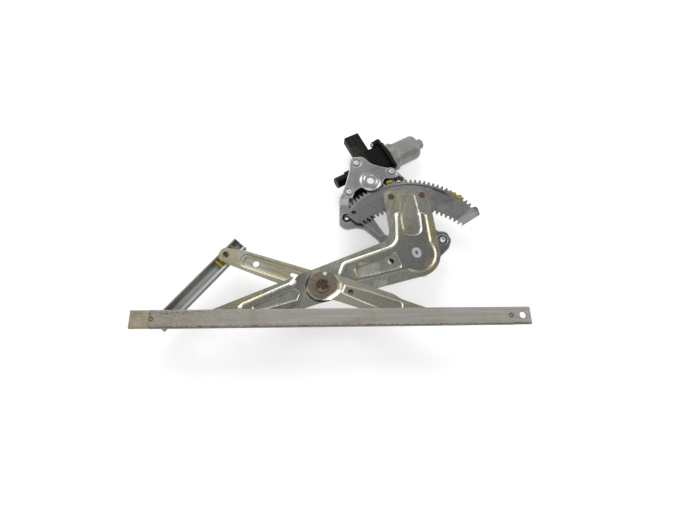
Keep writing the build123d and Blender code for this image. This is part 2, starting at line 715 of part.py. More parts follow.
def make_glass_rail():
    """Glass lift rail: a C section, open towards the arms."""
    length = rail_body_right - rail_body_left
    rail = channel(length, rail_width, rail_depth, rail_sheet, rail_slot, True)
    rail = Pos((rail_body_left + rail_body_right) / 2, rail_middle_y, rail_lip) * rail
    for x in (rail_body_left + 2.4, rail_body_right - 4.4):
        rail -= post((x, rail_middle_y), rail_rivet_radius, rail_face - 4, rail_face + 1)
    return rail


def rail_bracket(outer_x, inner_x, side):
    """End bracket: flanged tray flush with the rail, with a tongue that runs inside its web."""
    length = abs(inner_x - outer_x)
    middle = (outer_x + inner_x) / 2
    tray = Pos(middle, rail_middle_y, rail_face - end_depth / 2) * Box(length - 0.4, rail_width, end_depth)
    long_edges = tray.edges().filter_by(Axis.X).group_by(Axis.Z)[-1]
    tray = fillet(long_edges, 1.2)
    hollow = Box(length + 2, rail_width - 2 * rail_sheet, end_depth)
    tray -= Pos(middle + side * rail_sheet, rail_middle_y, rail_face - rail_sheet - end_depth / 2) * hollow
    tongue_x = inner_x + side * (end_overlap / 2 - 2.0)
    tongue = Box(end_overlap + 4.0, rail_width - 2 * rail_sheet - 0.8, rail_sheet)
    tongue_top = rail_face - rail_sheet
    tray += Pos(tongue_x, rail_middle_y, tongue_top - rail_sheet / 2) * tongue
    return tray


def make_rail_end_left():
    """Left end bracket, with a round stamped seat."""
    bracket = rail_bracket(rail_left, rail_body_left, 1)
    centre = (rail_left + 11.5, rail_middle_y)
    bracket = sunk(bracket, disc(centre, 8.0), rail_face - rail_sheet, 0.5, rail_sheet, 30.0)
    bracket = sunk(bracket, disc(centre, 4.5), rail_face - rail_sheet - 0.5, 0.4, rail_sheet, 30.0)
    return bracket - post((rail_body_left + 2.4, rail_middle_y), rail_rivet_radius, rail_lip, rail_face + 1)


def make_rail_end_right():
    """Right end bracket, with the hole for the glass fixing."""
    bracket = rail_bracket(rail_right, rail_body_right, -1)
    bracket -= post((rail_right - 11.4, rail_middle_y), glass_hole_radius, rail_lip, rail_face + 1)
    return bracket - post((rail_body_right - 4.4, rail_middle_y), rail_rivet_radius, rail_lip, rail_face + 1)


def make_rail_rivets():
    """Semi-tubular rivets through the rail's web and the end brackets' tongues."""
    rivets = []
    bottom = rail_face - 2 * rail_sheet
    for x in (rail_body_left + 2.4, rail_body_right - 4.4):
        rivets.append(turned([
            (0, bottom - 0.4), (rail_rivet_radius + 0.8, bottom - 0.4), (rail_rivet_radius + 0.8, bottom),
            (rail_rivet_radius, bottom), (rail_rivet_radius, rail_face - 0.1), (0.9, rail_face - 0.1),
            (0.9, rail_face - 1.0), (0, rail_face - 1.0),
        ], (x, rail_middle_y)))
    return rivets


def make_guide_channel():
    """Guide channel on the door panel: a narrow C section, open towards the arms."""
    length = guide_long_end + guide_short_end
    body = channel(length, guide_width, guide_depth, guide_sheet, guide_slot, False)
    middle = (guide_long_end - guide_short_end) / 2
    body = guide_frame * Pos(middle, 0, guide_back) * body
    for x in (14.0, guide_long_end - 14.0):
        body -= guide_frame * Pos(x, 0, guide_back) * Cylinder(mount_thread_radius + 0.4, 6)
    return body


def make_guide_brackets():
    """End plates of the guide channel: a stop in its lower end, a cap with a folded ear on its upper end."""
    tall = guide_depth - 2 * guide_sheet
    wide = guide_width - 2 * guide_sheet
    middle = guide_back + guide_depth / 2
    stop = Pos(guide_long_end - guide_sheet / 2, 0, middle) * Box(guide_sheet, wide, tall)
    cap_at = -guide_short_end - guide_sheet / 2
    cap = Pos(cap_at, 0, middle) * Box(guide_sheet, guide_width, guide_depth - 1.0)
    ear_y = (guide_width + guide_sheet) / 2
    ear = Pos(cap_at + 2.2, ear_y, middle + 1.0) * Box(4.4 + guide_sheet, guide_sheet, 6.0)
    ear -= Pos(cap_at + 2.8, ear_y, middle + 1.0) * Rot(90, 0, 0) * Cylinder(1.4, 6.0)
    return [guide_frame * stop, guide_frame * (cap + ear)]


def make_guide_nuts():
    """Weld nuts behind the guide channel."""
    nuts = []
    for x in (14.0, guide_long_end - 14.0):
        nut = hex_nut((0, 0), mount_nut_radius, mount_thread_radius, guide_back - 4.0, guide_back)
        nuts.append(guide_frame * Pos(x, 0, 0) * nut)
    return nuts


# ---------------------------------------------------------------- output pinion
def make_pinion():
    """Pinion, flange and shaft in one, down to the drive fork in the worm wheel."""
    top = bridge_back - pinion_gap
    bottom = top - pinion_width
    mesh = pinion_bearing + 180.0
    gap_index = round((pinion_bearing - sector_first_tooth) * sector_full_teeth / 360.0 - 0.5) + 0.5
    gap_angle = sector_first_tooth + gap_index * 360.0 / sector_full_teeth
    phase = mesh - (gap_angle - pinion_bearing) * sector_full_teeth / pinion_teeth
    points = []
    for index in range(pinion_teeth):
        points += tooth(pinion_teeth, profile_shift, phase + index * 360.0 / pinion_teeth, 4)
    teeth = slab(Pos(output[0], output[1], 0) * make_face(Polyline(*points, close=True)), bottom, top)
    shaft = turned([
        (0, worm_depth - wheel_width / 2), (5.0, worm_depth - wheel_width / 2), (5.0, bottom - 1.0),
        (8.6, bottom - 1.0), (8.6, bottom), (8.0, bottom), (8.0, top), (3.6, top), (3.6, top + 2.4),
        (0, top + 2.4),
    ], output)
    fork = slab(Pos(output[0], output[1], 0) * Rectangle(30.0, 5.0), worm_depth - 1.0, worm_depth + 3.0)
    return teeth + shaft + fork


def make_shaft_cap():
    """White moulded bush on the shaft's end, in the bridge's collar."""
    bottom = bridge_back - 0.3
    top = bridge_front + 0.9
    return turned([
        (3.6, bottom), (cap_radius, bottom), (cap_radius, top - 0.6), (cap_radius - 0.6, top),
        (0, top + 0.2),
        (0, bridge_back - pinion_gap + 2.4), (3.6, bridge_back - pinion_gap + 2.4),
    ], output)


def make_worm_wheel():
    """Moulded worm wheel with a hollow for the rubber damper."""
    pitch_radius = wheel_module * wheel_teeth / 2
    points = []
    for index in range(wheel_teeth):
        angle = 360.0 * index / wheel_teeth
        for turn, radius in ((-2.3, -1.6), (-1.0, -0.4), (1.0, -0.4), (2.3, -1.6)):
            points.append(polar(angle + turn, pitch_radius + radius * wheel_module))
    low, high = worm_depth - wheel_width / 2, worm_depth + wheel_width / 2
    wheel = slab(make_face(Polyline(*points, close=True)), low, high)
    wheel -= slab(Circle(20.0) - Circle(8.0), worm_depth - 1.0, high + 1)
    wheel -= slab(Circle(5.2), low - 1, high + 1)
    return Pos(output[0], output[1], 0) * (wheel - slab(Rectangle(30.4, 5.4), worm_depth - 1.0, high + 1))


def make_drive_damper():
    """Rubber ring in the worm wheel, split by the drive fork."""
    body = slab(Circle(19.8) - Circle(8.2), worm_depth - 1.0, worm_depth + 3.2)
    body -= slab(Rectangle(30.4, 5.4), worm_depth - 2.0, worm_depth + 5)
    return Pos(output[0], output[1], 0) * body


# ---------------------------------------------------------------- motor
def rod(start, end, radius):
    """Cylinder along the worm's axis."""
    return motor_frame * Pos((start + end) / 2, 0, 0) * Rot(0, 90, 0) * Cylinder(radius, end - start)


def connector_frame():
    """Frame at the foot of the connector, with X out of its mouth."""
    return Pos(-68.4, 176.6, worm_depth + 1.0) * Rot(0, 0, connector_direction)


def flange_plate(start, end, grow):
    """Flange between can and housing: a flat-sided plate with two screw ears."""
    across = flange_ear * sin(radians(flange_tilt))
    along = flange_ear * cos(radians(flange_tilt))
    ears = stadium((-across, along), (across, -along), flange_ear_radius + grow)
    plate = RectangleRounded(2 * (can_flat + 1.5 + grow), 2 * (flange_half_width + grow), 6.0)
    solid = extrude(plate + ears, amount=end - start)
    return motor_frame * Pos(start, 0, 0) * Rot(0, 90, 0) * solid


def ear_frames(at):
    """Frames on the two screw axes of the flange, with X along the worm's axis."""
    across = flange_ear * sin(radians(flange_tilt))
    along = flange_ear * cos(radians(flange_tilt))
    return [motor_frame * Pos(at, side * along, side * across) for side in (-1, 1)]


def make_gear_housing():
    """Moulded gear housing: wheel case, worm tunnel, brush box, flange, posts and connector shroud."""
    case = post(output, housing_radius, housing_back, housing_front)
    case = fillet(case.edges().group_by(Axis.Z)[-1], 2.0)
    housing = case + post(output, 13.0, housing_front - 1, housing_front + 1.2)
    seat = bridge_front - seat_drop - base_sheet
    for centre in screw_points:
        leg = stadium(centre, output, 5.2)
        housing += slab(leg, housing_back + 5.0, housing_front - 3.2)
        housing += post(centre, 6.4, housing_back + 4.2, seat)
    housing += rod(tunnel_end, -14.0, tube_radius) + rod(-20.0, flange_at + 1, tunnel_radius)
    box = Pos((18.0 + flange_at) / 2, 3.4, 0) * Box(flange_at - 16.0, 40.8, 27.0)
    housing += motor_frame * fillet(box.edges().filter_by(Axis.X), 4.0)
    housing += flange_plate(flange_at, can_start, 0.8)
    for frame in ear_frames(can_start - flange_ear_length / 2):
        housing += frame * Rot(0, 90, 0) * Cylinder(flange_ear_radius, flange_ear_length - 0.4)
    for step in range(9):
        rib = Pos(35.0, -11.0 + step * 4.0, 14.0) * Box(27.0, 1.2, 1.6)
        housing += motor_frame * rib
    shroud_length = connector_length + connector_root
    shroud = Box(shroud_length, connector_width, connector_height)
    shroud = Pos(shroud_length / 2 - connector_root, 0, 0) * shroud
    housing += connector_frame() * fillet(shroud.edges().filter_by(Axis.X), 2.0)
    for y in (-8.0, 0.0, 8.0):
        rib = Pos(connector_length / 2 + 2, y, connector_height / 2 + 0.3) * Box(28.0, 1.6, 1.4)
        housing += connector_frame() * rib
    opening = (connector_width - 2 * connector_wall, connector_height - 2 * connector_wall)
    socket = Box(socket_depth * 2, opening[0], opening[1])
    housing -= connector_frame() * Pos(connector_length, 0, 0) * socket
    wheel_top = worm_depth + wheel_width / 2
    housing -= post(output, housing_radius - housing_wall, housing_back - 1, wheel_top + 0.6)
    housing -= rod(tunnel_end + 4.0, flange_at + 6, worm_radius + 1.0)
    housing -= rod(18.0, flange_at + 6, 12.6)
    housing -= post(output, 7.0, housing_back, housing_front + 3)
    for centre in screw_points:
        housing -= post(centre, motor_screw_radius, seat - 12.0 + base_sheet, seat + 1)
    return housing - flange_screw_bores()


def flange_screw_bores():
    """Holes for the can screws, in the flange's ears."""
    bore = Rot(0, 90, 0) * Cylinder(2.1, 30.0)
    pocket = Pos(-flange_ear_length - 2.0, 0, 0) * Rot(0, 90, 0) * Cylinder(can_screw_head + 0.3, 4.0)
    first, second = [frame * (bore + pocket) for frame in ear_frames(can_start)]
    return first + second


def make_gear_cover():
    """Steel cover over the wheel case, at the back."""
    cover = post(output, housing_radius - housing_wall - 0.1, housing_back, housing_back + 1.4)
    cover = raised(cover, disc(output, 17.0), housing_back + 1.4, 0.8, 1.4)
    return cover


def make_motor_can():
    """Deep-drawn motor can: ear flange, round collar, flatted body and bearing boss."""
    shell_end = can_start + can_length
    boss_end = shell_end + can_boss_length
    collar_end = can_start + 10.0
    outer = revolved([
        (can_start, 0), (can_start, can_collar_radius), (collar_end, can_collar_radius),
        (collar_end + 4.0, can_radius), (shell_end - 7.0, can_radius), (shell_end - 3.0, can_radius - 1.6),
        (shell_end, can_radius - 6.5), (shell_end, can_boss_radius), (boss_end - 2.0, can_boss_radius),
        (boss_end, can_boss_radius - 2.2), (boss_end, 0),
    ], motor_frame)
    inner = revolved([
        (can_start - 1, 0), (can_start - 1, can_radius - can_wall), (shell_end - 7.0, can_radius - can_wall),
        (shell_end - can_wall, can_radius - 7.5), (shell_end - can_wall, can_boss_radius - can_wall),
        (boss_end - can_wall - 1.0, can_boss_radius - can_wall), (boss_end - can_wall - 1.0, 0),
    ], motor_frame)
    length = can_length + can_boss_length + 30.0
    flats = motor_frame * Pos(can_start + length / 2, 0, 0) * Box(length, 80.0, 2 * can_flat)
    inner_flats = motor_frame * Pos(can_start + length / 2 - 5, 0, 0) * Box(
        length, 80.0, 2 * (can_flat - can_wall))
    collar = rod(can_start, collar_end, can_collar_radius)
    body = (outer & (flats + collar)) - (inner & inner_flats)
    flange = flange_plate(can_start, can_start + can_wall, 0.0) - rod(
        can_start - 1, can_start + can_wall + 1, can_radius - can_wall)
    flange -= flange_screw_bores()
    return body + flange


def make_field_magnets():
    """Two arc magnets, inside the can's round sides."""
    start, end = can_start + 12.0, can_start + can_length - 10.0
    outer_radius = can_radius - can_wall - 0.05
    tube = rod(start, end, outer_radius) - rod(start - 1, end + 1, outer_radius - 4.6)
    flats = motor_frame * Pos((start + end) / 2, 0, 0) * Box(end - start + 4, 80.0, 20.0)
    sides = tube & flats
    return list(sides.solids())


def make_armature_stack():
    """Laminated armature core with winding slots."""
    start = can_start + 15.0
    face = Circle(stack_radius)
    for index in range(stack_slots):
        angle = 360.0 * index / stack_slots
        slot = Pos(stack_radius, 0, 0) * Rectangle(4.0, 1.8) + Pos(stack_radius - 4.6, 0, 0) * Circle(2.3)
        face -= Rot(0, 0, angle) * slot
    face -= Circle(shaft_radius)
    core = extrude(face, amount=stack_length)
    return motor_frame * Pos(start, 0, 0) * Rot(0, 90, 0) * core


def make_armature_windings():
    """Copper end turns on both ends of the core."""
    start = can_start + 15.0
    coils = []
    for low, high in ((start - 6.0, start), (start + stack_length, start + stack_length + 5.0)):
        bulge = revolved([
            (low, shaft_radius + 0.1), (low, stack_radius - 3.6), (low + 1.5, stack_radius - 1.6),
            (high - 1.0, stack_radius - 1.6), (high, stack_radius - 2.6), (high, shaft_radius + 0.1),
        ], motor_frame)
        coils.append(bulge)
    return coils


def make_commutator():
    """Copper commutator between the windings and the worm."""
    end = can_start + 8.0
    body = rod(end - 13.0, end, 7.0) - rod(end - 14.0, end + 1.0, shaft_radius)
    for index in range(stack_slots):
        slot = Pos(end - 7.5, 0, 7.0) * Box(11.0, 0.6, 1.4)
        body -= motor_frame * Rot(360.0 * index / stack_slots, 0, 0) * slot
    return body


def make_worm_shaft():
    """Armature shaft with its worm, as a stack of rounded threads."""
    half = worm_length / 2
    turns = int(worm_length / worm_lead)
    nose = tunnel_end + 7.2
    profile = [(nose, 0), (nose, shaft_radius - 0.6), (nose + 0.8, shaft_radius)]
    profile += [(-half - 1.0, shaft_radius), (-half - 1.0, worm_root_radius)]
    for index in range(turns):
        foot = -half + index * worm_lead
        profile += [(foot, worm_root_radius), (foot + 0.9, worm_radius), (foot + 1.5, worm_radius)]
        profile += [(foot + 2.4, worm_root_radius)]
    end = can_start + can_length + 5.0
    profile += [(half + 1.0, worm_root_radius), (half + 1.0, shaft_radius), (end, shaft_radius), (end, 0)]
    return revolved(profile, motor_frame)


def make_bearings():
    """Sintered bushes: one in the can's boss, one at the tunnel's far end."""
    rear_start = can_start + can_length
    rear = rod(rear_start, rear_start + 6.0, can_boss_radius - can_wall)
    rear -= rod(rear_start - 1, rear_start + 7, shaft_radius + running_fit)
    front = rod(tunnel_end + 8.0, tunnel_end + 16.0, worm_radius + 1.0)
    front -= rod(tunnel_end + 7, tunnel_end + 17, shaft_radius + running_fit)
    return rear, front


def make_thrust_plug():
    """Plug that takes the worm's end thrust."""
    return rod(tunnel_end + 4.0, tunnel_end + 7.0, worm_radius + 1.0)


def make_output_bush():
    """Bronze bush for the output shaft, in the wheel case's nose."""
    top = housing_front + 1.2
    return ring(output, 7.0, 5.0 + running_fit, housing_front - 5.0, top)


def make_brush_card():
    """Brush card with two carbon brushes on the commutator."""
    at_x = can_start - 2.4
    card = rod(at_x - 1.0, at_x + 1.0, 12.5) - rod(at_x - 2, at_x + 2, 8.2)
    for side in (-1, 1):
        holder = Pos(at_x, side * 10.2, 0) * Box(5.0, 3.6, 4.4)
        tip = Pos(at_x, side * 7.75, 0) * Box(3.4, 1.3, 3.0)
        card += motor_frame * (holder + tip)
    return card


def make_can_screws():
    """Two screws through the housing's ears into the can's tapped flange."""
    head_at = -flange_ear_length
    end = can_wall + 1.5
    profile = [
        (head_at - 2.6, 0), (head_at - 2.6, can_screw_head - 1.2), (head_at - 1.8, can_screw_head),
        (head_at, can_screw_head), (head_at, 2.0),
        (end - 0.6, 2.0), (end, 1.4), (end, 0),
    ]
    screws = []
    for frame in ear_frames(can_start):
        slot = Pos(head_at - 2.6, 0, 0) * Box(1.8, 1.0, 6.0)
        screws.append(frame * (revolved(profile) - slot))
    return screws


def make_connector_pins():
    """Flat terminals in the connector shroud."""
    pins = []
    for y in (-5.0, 5.0):
        start = connector_length - socket_depth
        blade = Pos(start + 4.0, y, 0) * Box(12.0, 5.0, 0.8)
        pins.append(connector_frame() * blade)
    return pins


# ---------------------------------------------------------------- export
def write(name, shape):
    """One STEP file per named sub-part."""
    solids = []
    for item in shape if isinstance(shape, (list, tuple)) else [shape]:
        solids += item.solids()
    export_step(Compound(children=solids) if len(solids) > 1 else solids[0], f"parts/{name}.step")


def main():
    """Builds every sub-part in place."""
    os.makedirs("parts", exist_ok=True)
    rear_bearing, front_bearing = make_bearings()
    nodes = {
        "base_plate": make_base_plate(),
        "weld_nuts": make_weld_nuts(),
        "pivot_stud": make_pivot_stud(),
        "pivot_spacer": make_pivot_spacer(),
        "pivot_washer": make_pivot_washer(),
        "motor_screws": make_motor_screws(),
        "gear_housing": make_gear_housing(),
        "gear_cover": make_gear_cover(),
        "connector_pins": make_connector_pins(),
        "motor_can": make_motor_can(),
        "field_magnets": make_field_magnets(),
        "brush_card": make_brush_card(),
        "armature_stack": make_armature_stack(),
        "armature_windings": make_armature_windings(),
        "commutator": make_commutator(),
        "worm_shaft": make_worm_shaft(),
        "rear_bearing": rear_bearing,
        "front_bearing": front_bearing,
        "thrust_plug": make_thrust_plug(),
        "output_bush": make_output_bush(),
        "can_screws": make_can_screws(),
        "pinion": make_pinion(),
        "shaft_cap": make_shaft_cap(),
        "worm_wheel": make_worm_wheel(),
        "drive_damper": make_drive_damper(),
        "lift_arm": make_lift_arm(),
        "sector_gear": make_sector_gear(),
        "sector_rivets": make_sector_rivets(),
        "lift_slider_pin": rail_pin(lift_end, lift_back, lift_front),
        "guide_arm": make_guide_arm(),
        "rail_arm": make_rail_arm(),
        "centre_stud": make_centre_stud(),
        "friction_washers": make_friction_washers(),
        "guide_pin": make_guide_pin(),
        "rail_slider_pin": rail_pin(rail_end, rail_arm_back, rail_arm_front),
        "rail_shoe_left": rail_shoe(lift_end),
        "rail_shoe_right": rail_shoe(rail_end),
        "guide_shoe": make_guide_shoe(),
        "glass_rail": make_glass_rail(),
        "rail_end_left": make_rail_end_left(),
        "rail_end_right": make_rail_end_right(),
        "rail_rivets": make_rail_rivets(),
        "guide_channel": make_guide_channel(),
        "guide_brackets": make_guide_brackets(),
        "guide_nuts": make_guide_nuts(),
    }
    for name, shape in nodes.items():
        write(name, shape)


main()
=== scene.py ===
"""Studio scene of a crossed-arm power window regulator lying on a pale floor."""
import logging
import math
from dataclasses import dataclass
from enum import Enum

import bmesh
import bpy
import numpy as np
from mathutils import Matrix
from mathutils.geometry import delaunay_2d_cdt


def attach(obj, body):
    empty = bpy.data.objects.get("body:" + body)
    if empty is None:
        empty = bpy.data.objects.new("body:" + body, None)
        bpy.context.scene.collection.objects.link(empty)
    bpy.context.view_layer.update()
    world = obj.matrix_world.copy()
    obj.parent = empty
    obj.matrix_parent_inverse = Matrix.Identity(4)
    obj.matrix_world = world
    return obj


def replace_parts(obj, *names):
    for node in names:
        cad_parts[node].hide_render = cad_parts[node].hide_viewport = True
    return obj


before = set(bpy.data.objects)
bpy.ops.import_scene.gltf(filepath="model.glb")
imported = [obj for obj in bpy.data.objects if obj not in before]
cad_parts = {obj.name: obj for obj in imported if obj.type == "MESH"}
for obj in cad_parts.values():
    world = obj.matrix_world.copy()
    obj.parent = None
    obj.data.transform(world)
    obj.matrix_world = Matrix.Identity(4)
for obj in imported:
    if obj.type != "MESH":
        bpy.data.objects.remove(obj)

log = logging.getLogger("regulator")

Colour = tuple[float, float, float]
Point = tuple[float, float, float]
Pair = tuple[float, float]

NEAR_ZERO = 1e-9   # keeps divisions possible
SAME_POINT = 1e-5  # distance within which two plan points would be one, in millimetres
MERGED = 1e-7      # distance within which two points of a mesh are merged, in metres
ARC_PITCH = 3.0    # pitch of the edge that distances are measured to, in millimetres
BATCH = 4000       # points that are measured at a time
EDGE_ERROR = 0.15  # how far a point may be from a joined shape's edge, in millimetres

RING_STEP = 0.65   # widest step between the rings down a slope, in millimetres
RING_ERROR = 0.2   # how far a ring's point may be from its depth
RING_CELL = 0.35   # side of the cell in which one ring point is kept
RING_GAP = 0.5     # distance between a slope and the grid
HOLE_PITCH = 0.7   # pitch along a hole, as a share of the sheet's
ROW_PITCH = 0.866  # distance between the grid's rows, as a share of the sheet's pitch
EDGE_GAP = 0.6     # distance between every edge and the grid, as a share of the sheet's pitch
FLAT_SLOPE = 1e-6  # rise per millimetre under which a sheet faces no way
BLURS = {"pale": 1.6, "painted_shadow": 1.2, "gilt": 9.0, "bright": 2.0}  # width of each patch's soft edge, in millimetres


class Body(Enum):
    """Rigid bodies of the mechanism that pieces ride on."""

    BASE = "base"
    LIFT = "lift"
    EQUALIZER = "equalizer"


class Slot(Enum):
    """Material slots that the new pieces name."""

    LIFT = "lift_steel"
    ARM = "chromate_steel"
    GREASE = "ochre_nylon"
    BRASS = "bronze"


# ---------------------------------------------------------------- plan shapes, in millimetres
class Shape:
    """A closed shape in plan, known by its signed distance: negative inside."""

    def distance(self, points: np.ndarray) -> np.ndarray:
        """Signed distance of points (n, 2) to the shape's edge."""
        raise NotImplementedError

    def loop(self, pitch: float) -> np.ndarray:
        """Points along the edge at about a pitch, as an array (n, 2)."""
        raise NotImplementedError

    def gradient(self, points: np.ndarray, step: float = 0.02) -> np.ndarray:
        """Unit vectors out of the shape, from central differences of the distance.

        Args:
            points: Plan points (n, 2).
            step: Half the span of the differences.

        Returns:
            One vector for each point.
        """
        rise = np.c_[
            self.distance(points + [step, 0]) - self.distance(points - [step, 0]),
            self.distance(points + [0, step]) - self.distance(points - [0, step])]
        return rise / np.maximum(np.linalg.norm(rise, axis=1), NEAR_ZERO)[:, None]


def divided(corners: np.ndarray, pitch: float) -> np.ndarray:
    """The closed line through the corners, with its sides divided at about a pitch.

    Args:
        corners: Its corners (n, 2).
        pitch: Distance between the points.

    Returns:
        The points (m, 2).
    """
    side = np.roll(corners, -1, 0) - corners
    count = np.maximum(1, np.round(np.linalg.norm(side, axis=1) / pitch).astype(int))
    start = np.repeat(np.arange(len(corners)), count)
    within = (np.arange(count.sum()) - np.repeat(np.cumsum(count) - count, count)) / np.repeat(count, count)
    return corners[start] + within[:, None] * side[start]


@dataclass(frozen=True)
class Capsule(Shape):
    """Everything within a radius of a line; a disc where start and end are the same."""

    start: Pair
    end: Pair
    radius: float

    def loop(self, pitch: float) -> np.ndarray:
        """Two half circles, and nothing between them for a disc.

        Args:
            pitch: Distance between the points.

        Returns:
            The edge's points (n, 2).
        """
        start, end = np.array(self.start), np.array(self.end)
        line = end - start
        half = max(10, int(math.pi * self.radius / pitch))
        arc = np.linspace(-math.pi / 2, math.pi / 2, half + 1) + math.atan2(line[1], line[0])
        rim = self.radius * np.c_[np.cos(arc), np.sin(arc)]
        return np.concatenate([end + rim, start - rim] if line.any() else [end + rim[:-1], start - rim[:-1]])

    def distance(self, points: np.ndarray) -> np.ndarray:
        """Distance to the nearest point of the line, less the radius.

        Args:
            points: Plan points (n, 2).

        Returns:
            The signed distances.
        """
        a, b = np.array(self.start), np.array(self.end)
        line = b - a
        share = np.clip((points - a) @ line / max(line @ line, NEAR_ZERO), 0.0, 1.0)
        return np.linalg.norm(points - a - share[:, None] * line, axis=1) - self.radius


@dataclass(frozen=True)
class Rounded(Shape):
    """A polygon whose corners (x, y, radius) are rounded."""

    corners: tuple[tuple[float, float, float], ...]

    def loop(self, pitch: float) -> np.ndarray:
        """Points along the edge, each corner rounded.

        Each corner's arc touches both sides at radius / tan(half the corner's angle) from the corner.

        Args:
            pitch: Distance between the points.

        Returns:
            The edge's points (n, 2).
        """
        rows = np.array(self.corners, float)
        corner, radius = rows[:, :2], rows[:, 2]
        before, after = np.roll(corner, 1, 0) - corner, np.roll(corner, -1, 0) - corner
        before /= np.linalg.norm(before, axis=1)[:, None]
        after /= np.linalg.norm(after, axis=1)[:, None]
        half = np.arccos(np.clip((before * after).sum(1), -1, 1)) / 2
        reach = radius / np.tan(half)
        middle = before + after
        middle /= np.linalg.norm(middle, axis=1)[:, None]
        centre = corner + middle * (radius / np.sin(half))[:, None]
        parts = []
        for k in range(len(corner)):
            first = corner[k] + before[k] * reach[k] - centre[k]
            last = corner[k] + after[k] * reach[k] - centre[k]
            turn = math.atan2(first[0] * last[1] - first[1] * last[0], first @ last)
            steps = max(3, int(abs(turn) * radius[k] / pitch) + 1)
            angle = math.atan2(first[1], first[0]) + np.linspace(0, 1, steps + 1) * turn
            parts.append(centre[k] + radius[k] * np.c_[np.cos(angle), np.sin(angle)])
        return divided(np.concatenate(parts), pitch)

    def distance(self, points: np.ndarray) -> np.ndarray:
        """Distance to the nearest side; the sign comes from how often a ray crosses the edge.

        Args:
            points: Plan points (n, 2).

        Returns:
            The signed distances.
        """
        a = self.loop(ARC_PITCH)
        b = np.roll(a, -1, 0)
        line = b - a
        out = np.empty(len(points))
        for part in np.array_split(np.arange(len(points)), max(1, len(points) // BATCH)):
            gap = points[part][:, None] - a
            share = np.clip((gap * line).sum(2) / np.maximum((line ** 2).sum(1), NEAR_ZERO), 0, 1)
            near = np.sqrt(((gap - share[..., None] * line) ** 2).sum(2).min(1))
            y = points[part][:, 1:2]
            spans = (a[:, 1] > y) != (b[:, 1] > y)
            rise = np.where(np.abs(line[:, 1]) < NEAR_ZERO, NEAR_ZERO, line[:, 1])
            crosses = spans & (points[part][:, :1] < a[:, 0] + (y - a[:, 1]) / rise * line[:, 0])
            out[part] = np.where(crosses.sum(1) % 2 == 1, -near, near)
        return out


@dataclass(frozen=True)
class Faceted(Shape):
    """A convex polygon given anticlockwise, whose distance keeps mitred corners."""

    corners: tuple[Pair, ...]

    def loop(self, pitch: float) -> np.ndarray:
        """Its sides, divided."""
        return divided(np.array(self.corners, float), pitch)

    def distance(self, points: np.ndarray) -> np.ndarray:
        """The largest of the distances to the sides' lines.

        Args:
            points: Plan points (n, 2).

        Returns:
            The signed distances.
        """
        a = np.array(self.corners, float)
        line = np.roll(a, -1, 0) - a
        normal = np.c_[line[:, 1], -line[:, 0]] / np.linalg.norm(line, axis=1)[:, None]
        return ((points[:, None] - a) * normal).sum(2).max(1)


@dataclass(frozen=True)
class Joined(Shape):
    """Two shapes together."""

    first: Shape
    second: Shape

    def loop(self, pitch: float) -> np.ndarray:
        """What of both edges is the whole's edge."""
        edges = np.concatenate([self.first.loop(pitch), self.second.loop(pitch)])
        return edges[np.abs(self.distance(edges)) < EDGE_ERROR]

    def distance(self, points: np.ndarray) -> np.ndarray:
        """The smaller of the two distances."""
        return np.minimum(self.first.distance(points), self.second.distance(points))


def disc(x: float, y: float, radius: float) -> Capsule:
    """A round shape."""
    return Capsule((x, y), (x, y), radius)


def rounded(*corners: tuple[float, float, float]) -> Rounded:
    """A polygon with rounded corners."""
    return Rounded(corners)


# ---------------------------------------------------------------- pressed sheet pieces
@dataclass(frozen=True)
class Press:
    """A panel pressed out of a sheet."""

    shape: Shape  # the panel's outer edge, where the slope begins
    height: float  # how far the panel stands forwards, in millimetres; negative when it is sunk
    slope: float  # width of the slope, inwards from the edge
    crisp: bool = False  # whether the slope is a flat facet and not an S curve
    flush: bool = False  # whether the height counts from the unpressed sheet, whatever is pressed round the panel
    fade: tuple[Pair, Pair] | None = None  # two points between which the panel runs out gently, or nothing

    def share(self, points: np.ndarray) -> np.ndarray:
        """How far in over the slope each point lies: 0 outside the panel, 1 past the slope."""
        return np.clip(-self.shape.distance(points) / self.slope, 0.0, 1.0)

    def strength(self, points: np.ndarray) -> np.ndarray:
        """1, falling to 0 in an S curve along the fade.

        Args:
            points: Plan points (n, 2).

        Returns:
            A share for each point.
        """
        if self.fade is None:
            return np.ones(len(points))
        start, end = np.array(self.fade[0]), np.array(self.fade[1])
        left = np.clip((end - points) @ (end - start) / ((end - start) @ (end - start)), 0.0, 1.0)
        return left * left * (3.0 - 2.0 * left)

    def apply(self, points: np.ndarray, z: np.ndarray, front: float) -> np.ndarray:
        """New heights: an S curve, or a flat facet, of the share times the panel's height.

        Args:
            points: Plan points (n, 2).
            z: Heights before.
            front: Height of the unpressed sheet.

        Returns:
            The new heights.
        """
        share = self.share(points)
        rise = (share if self.crisp else share * share * (3.0 - 2.0 * share)) * self.strength(points)
        return z + (front + self.height - z) * rise if self.flush else z + self.height * rise


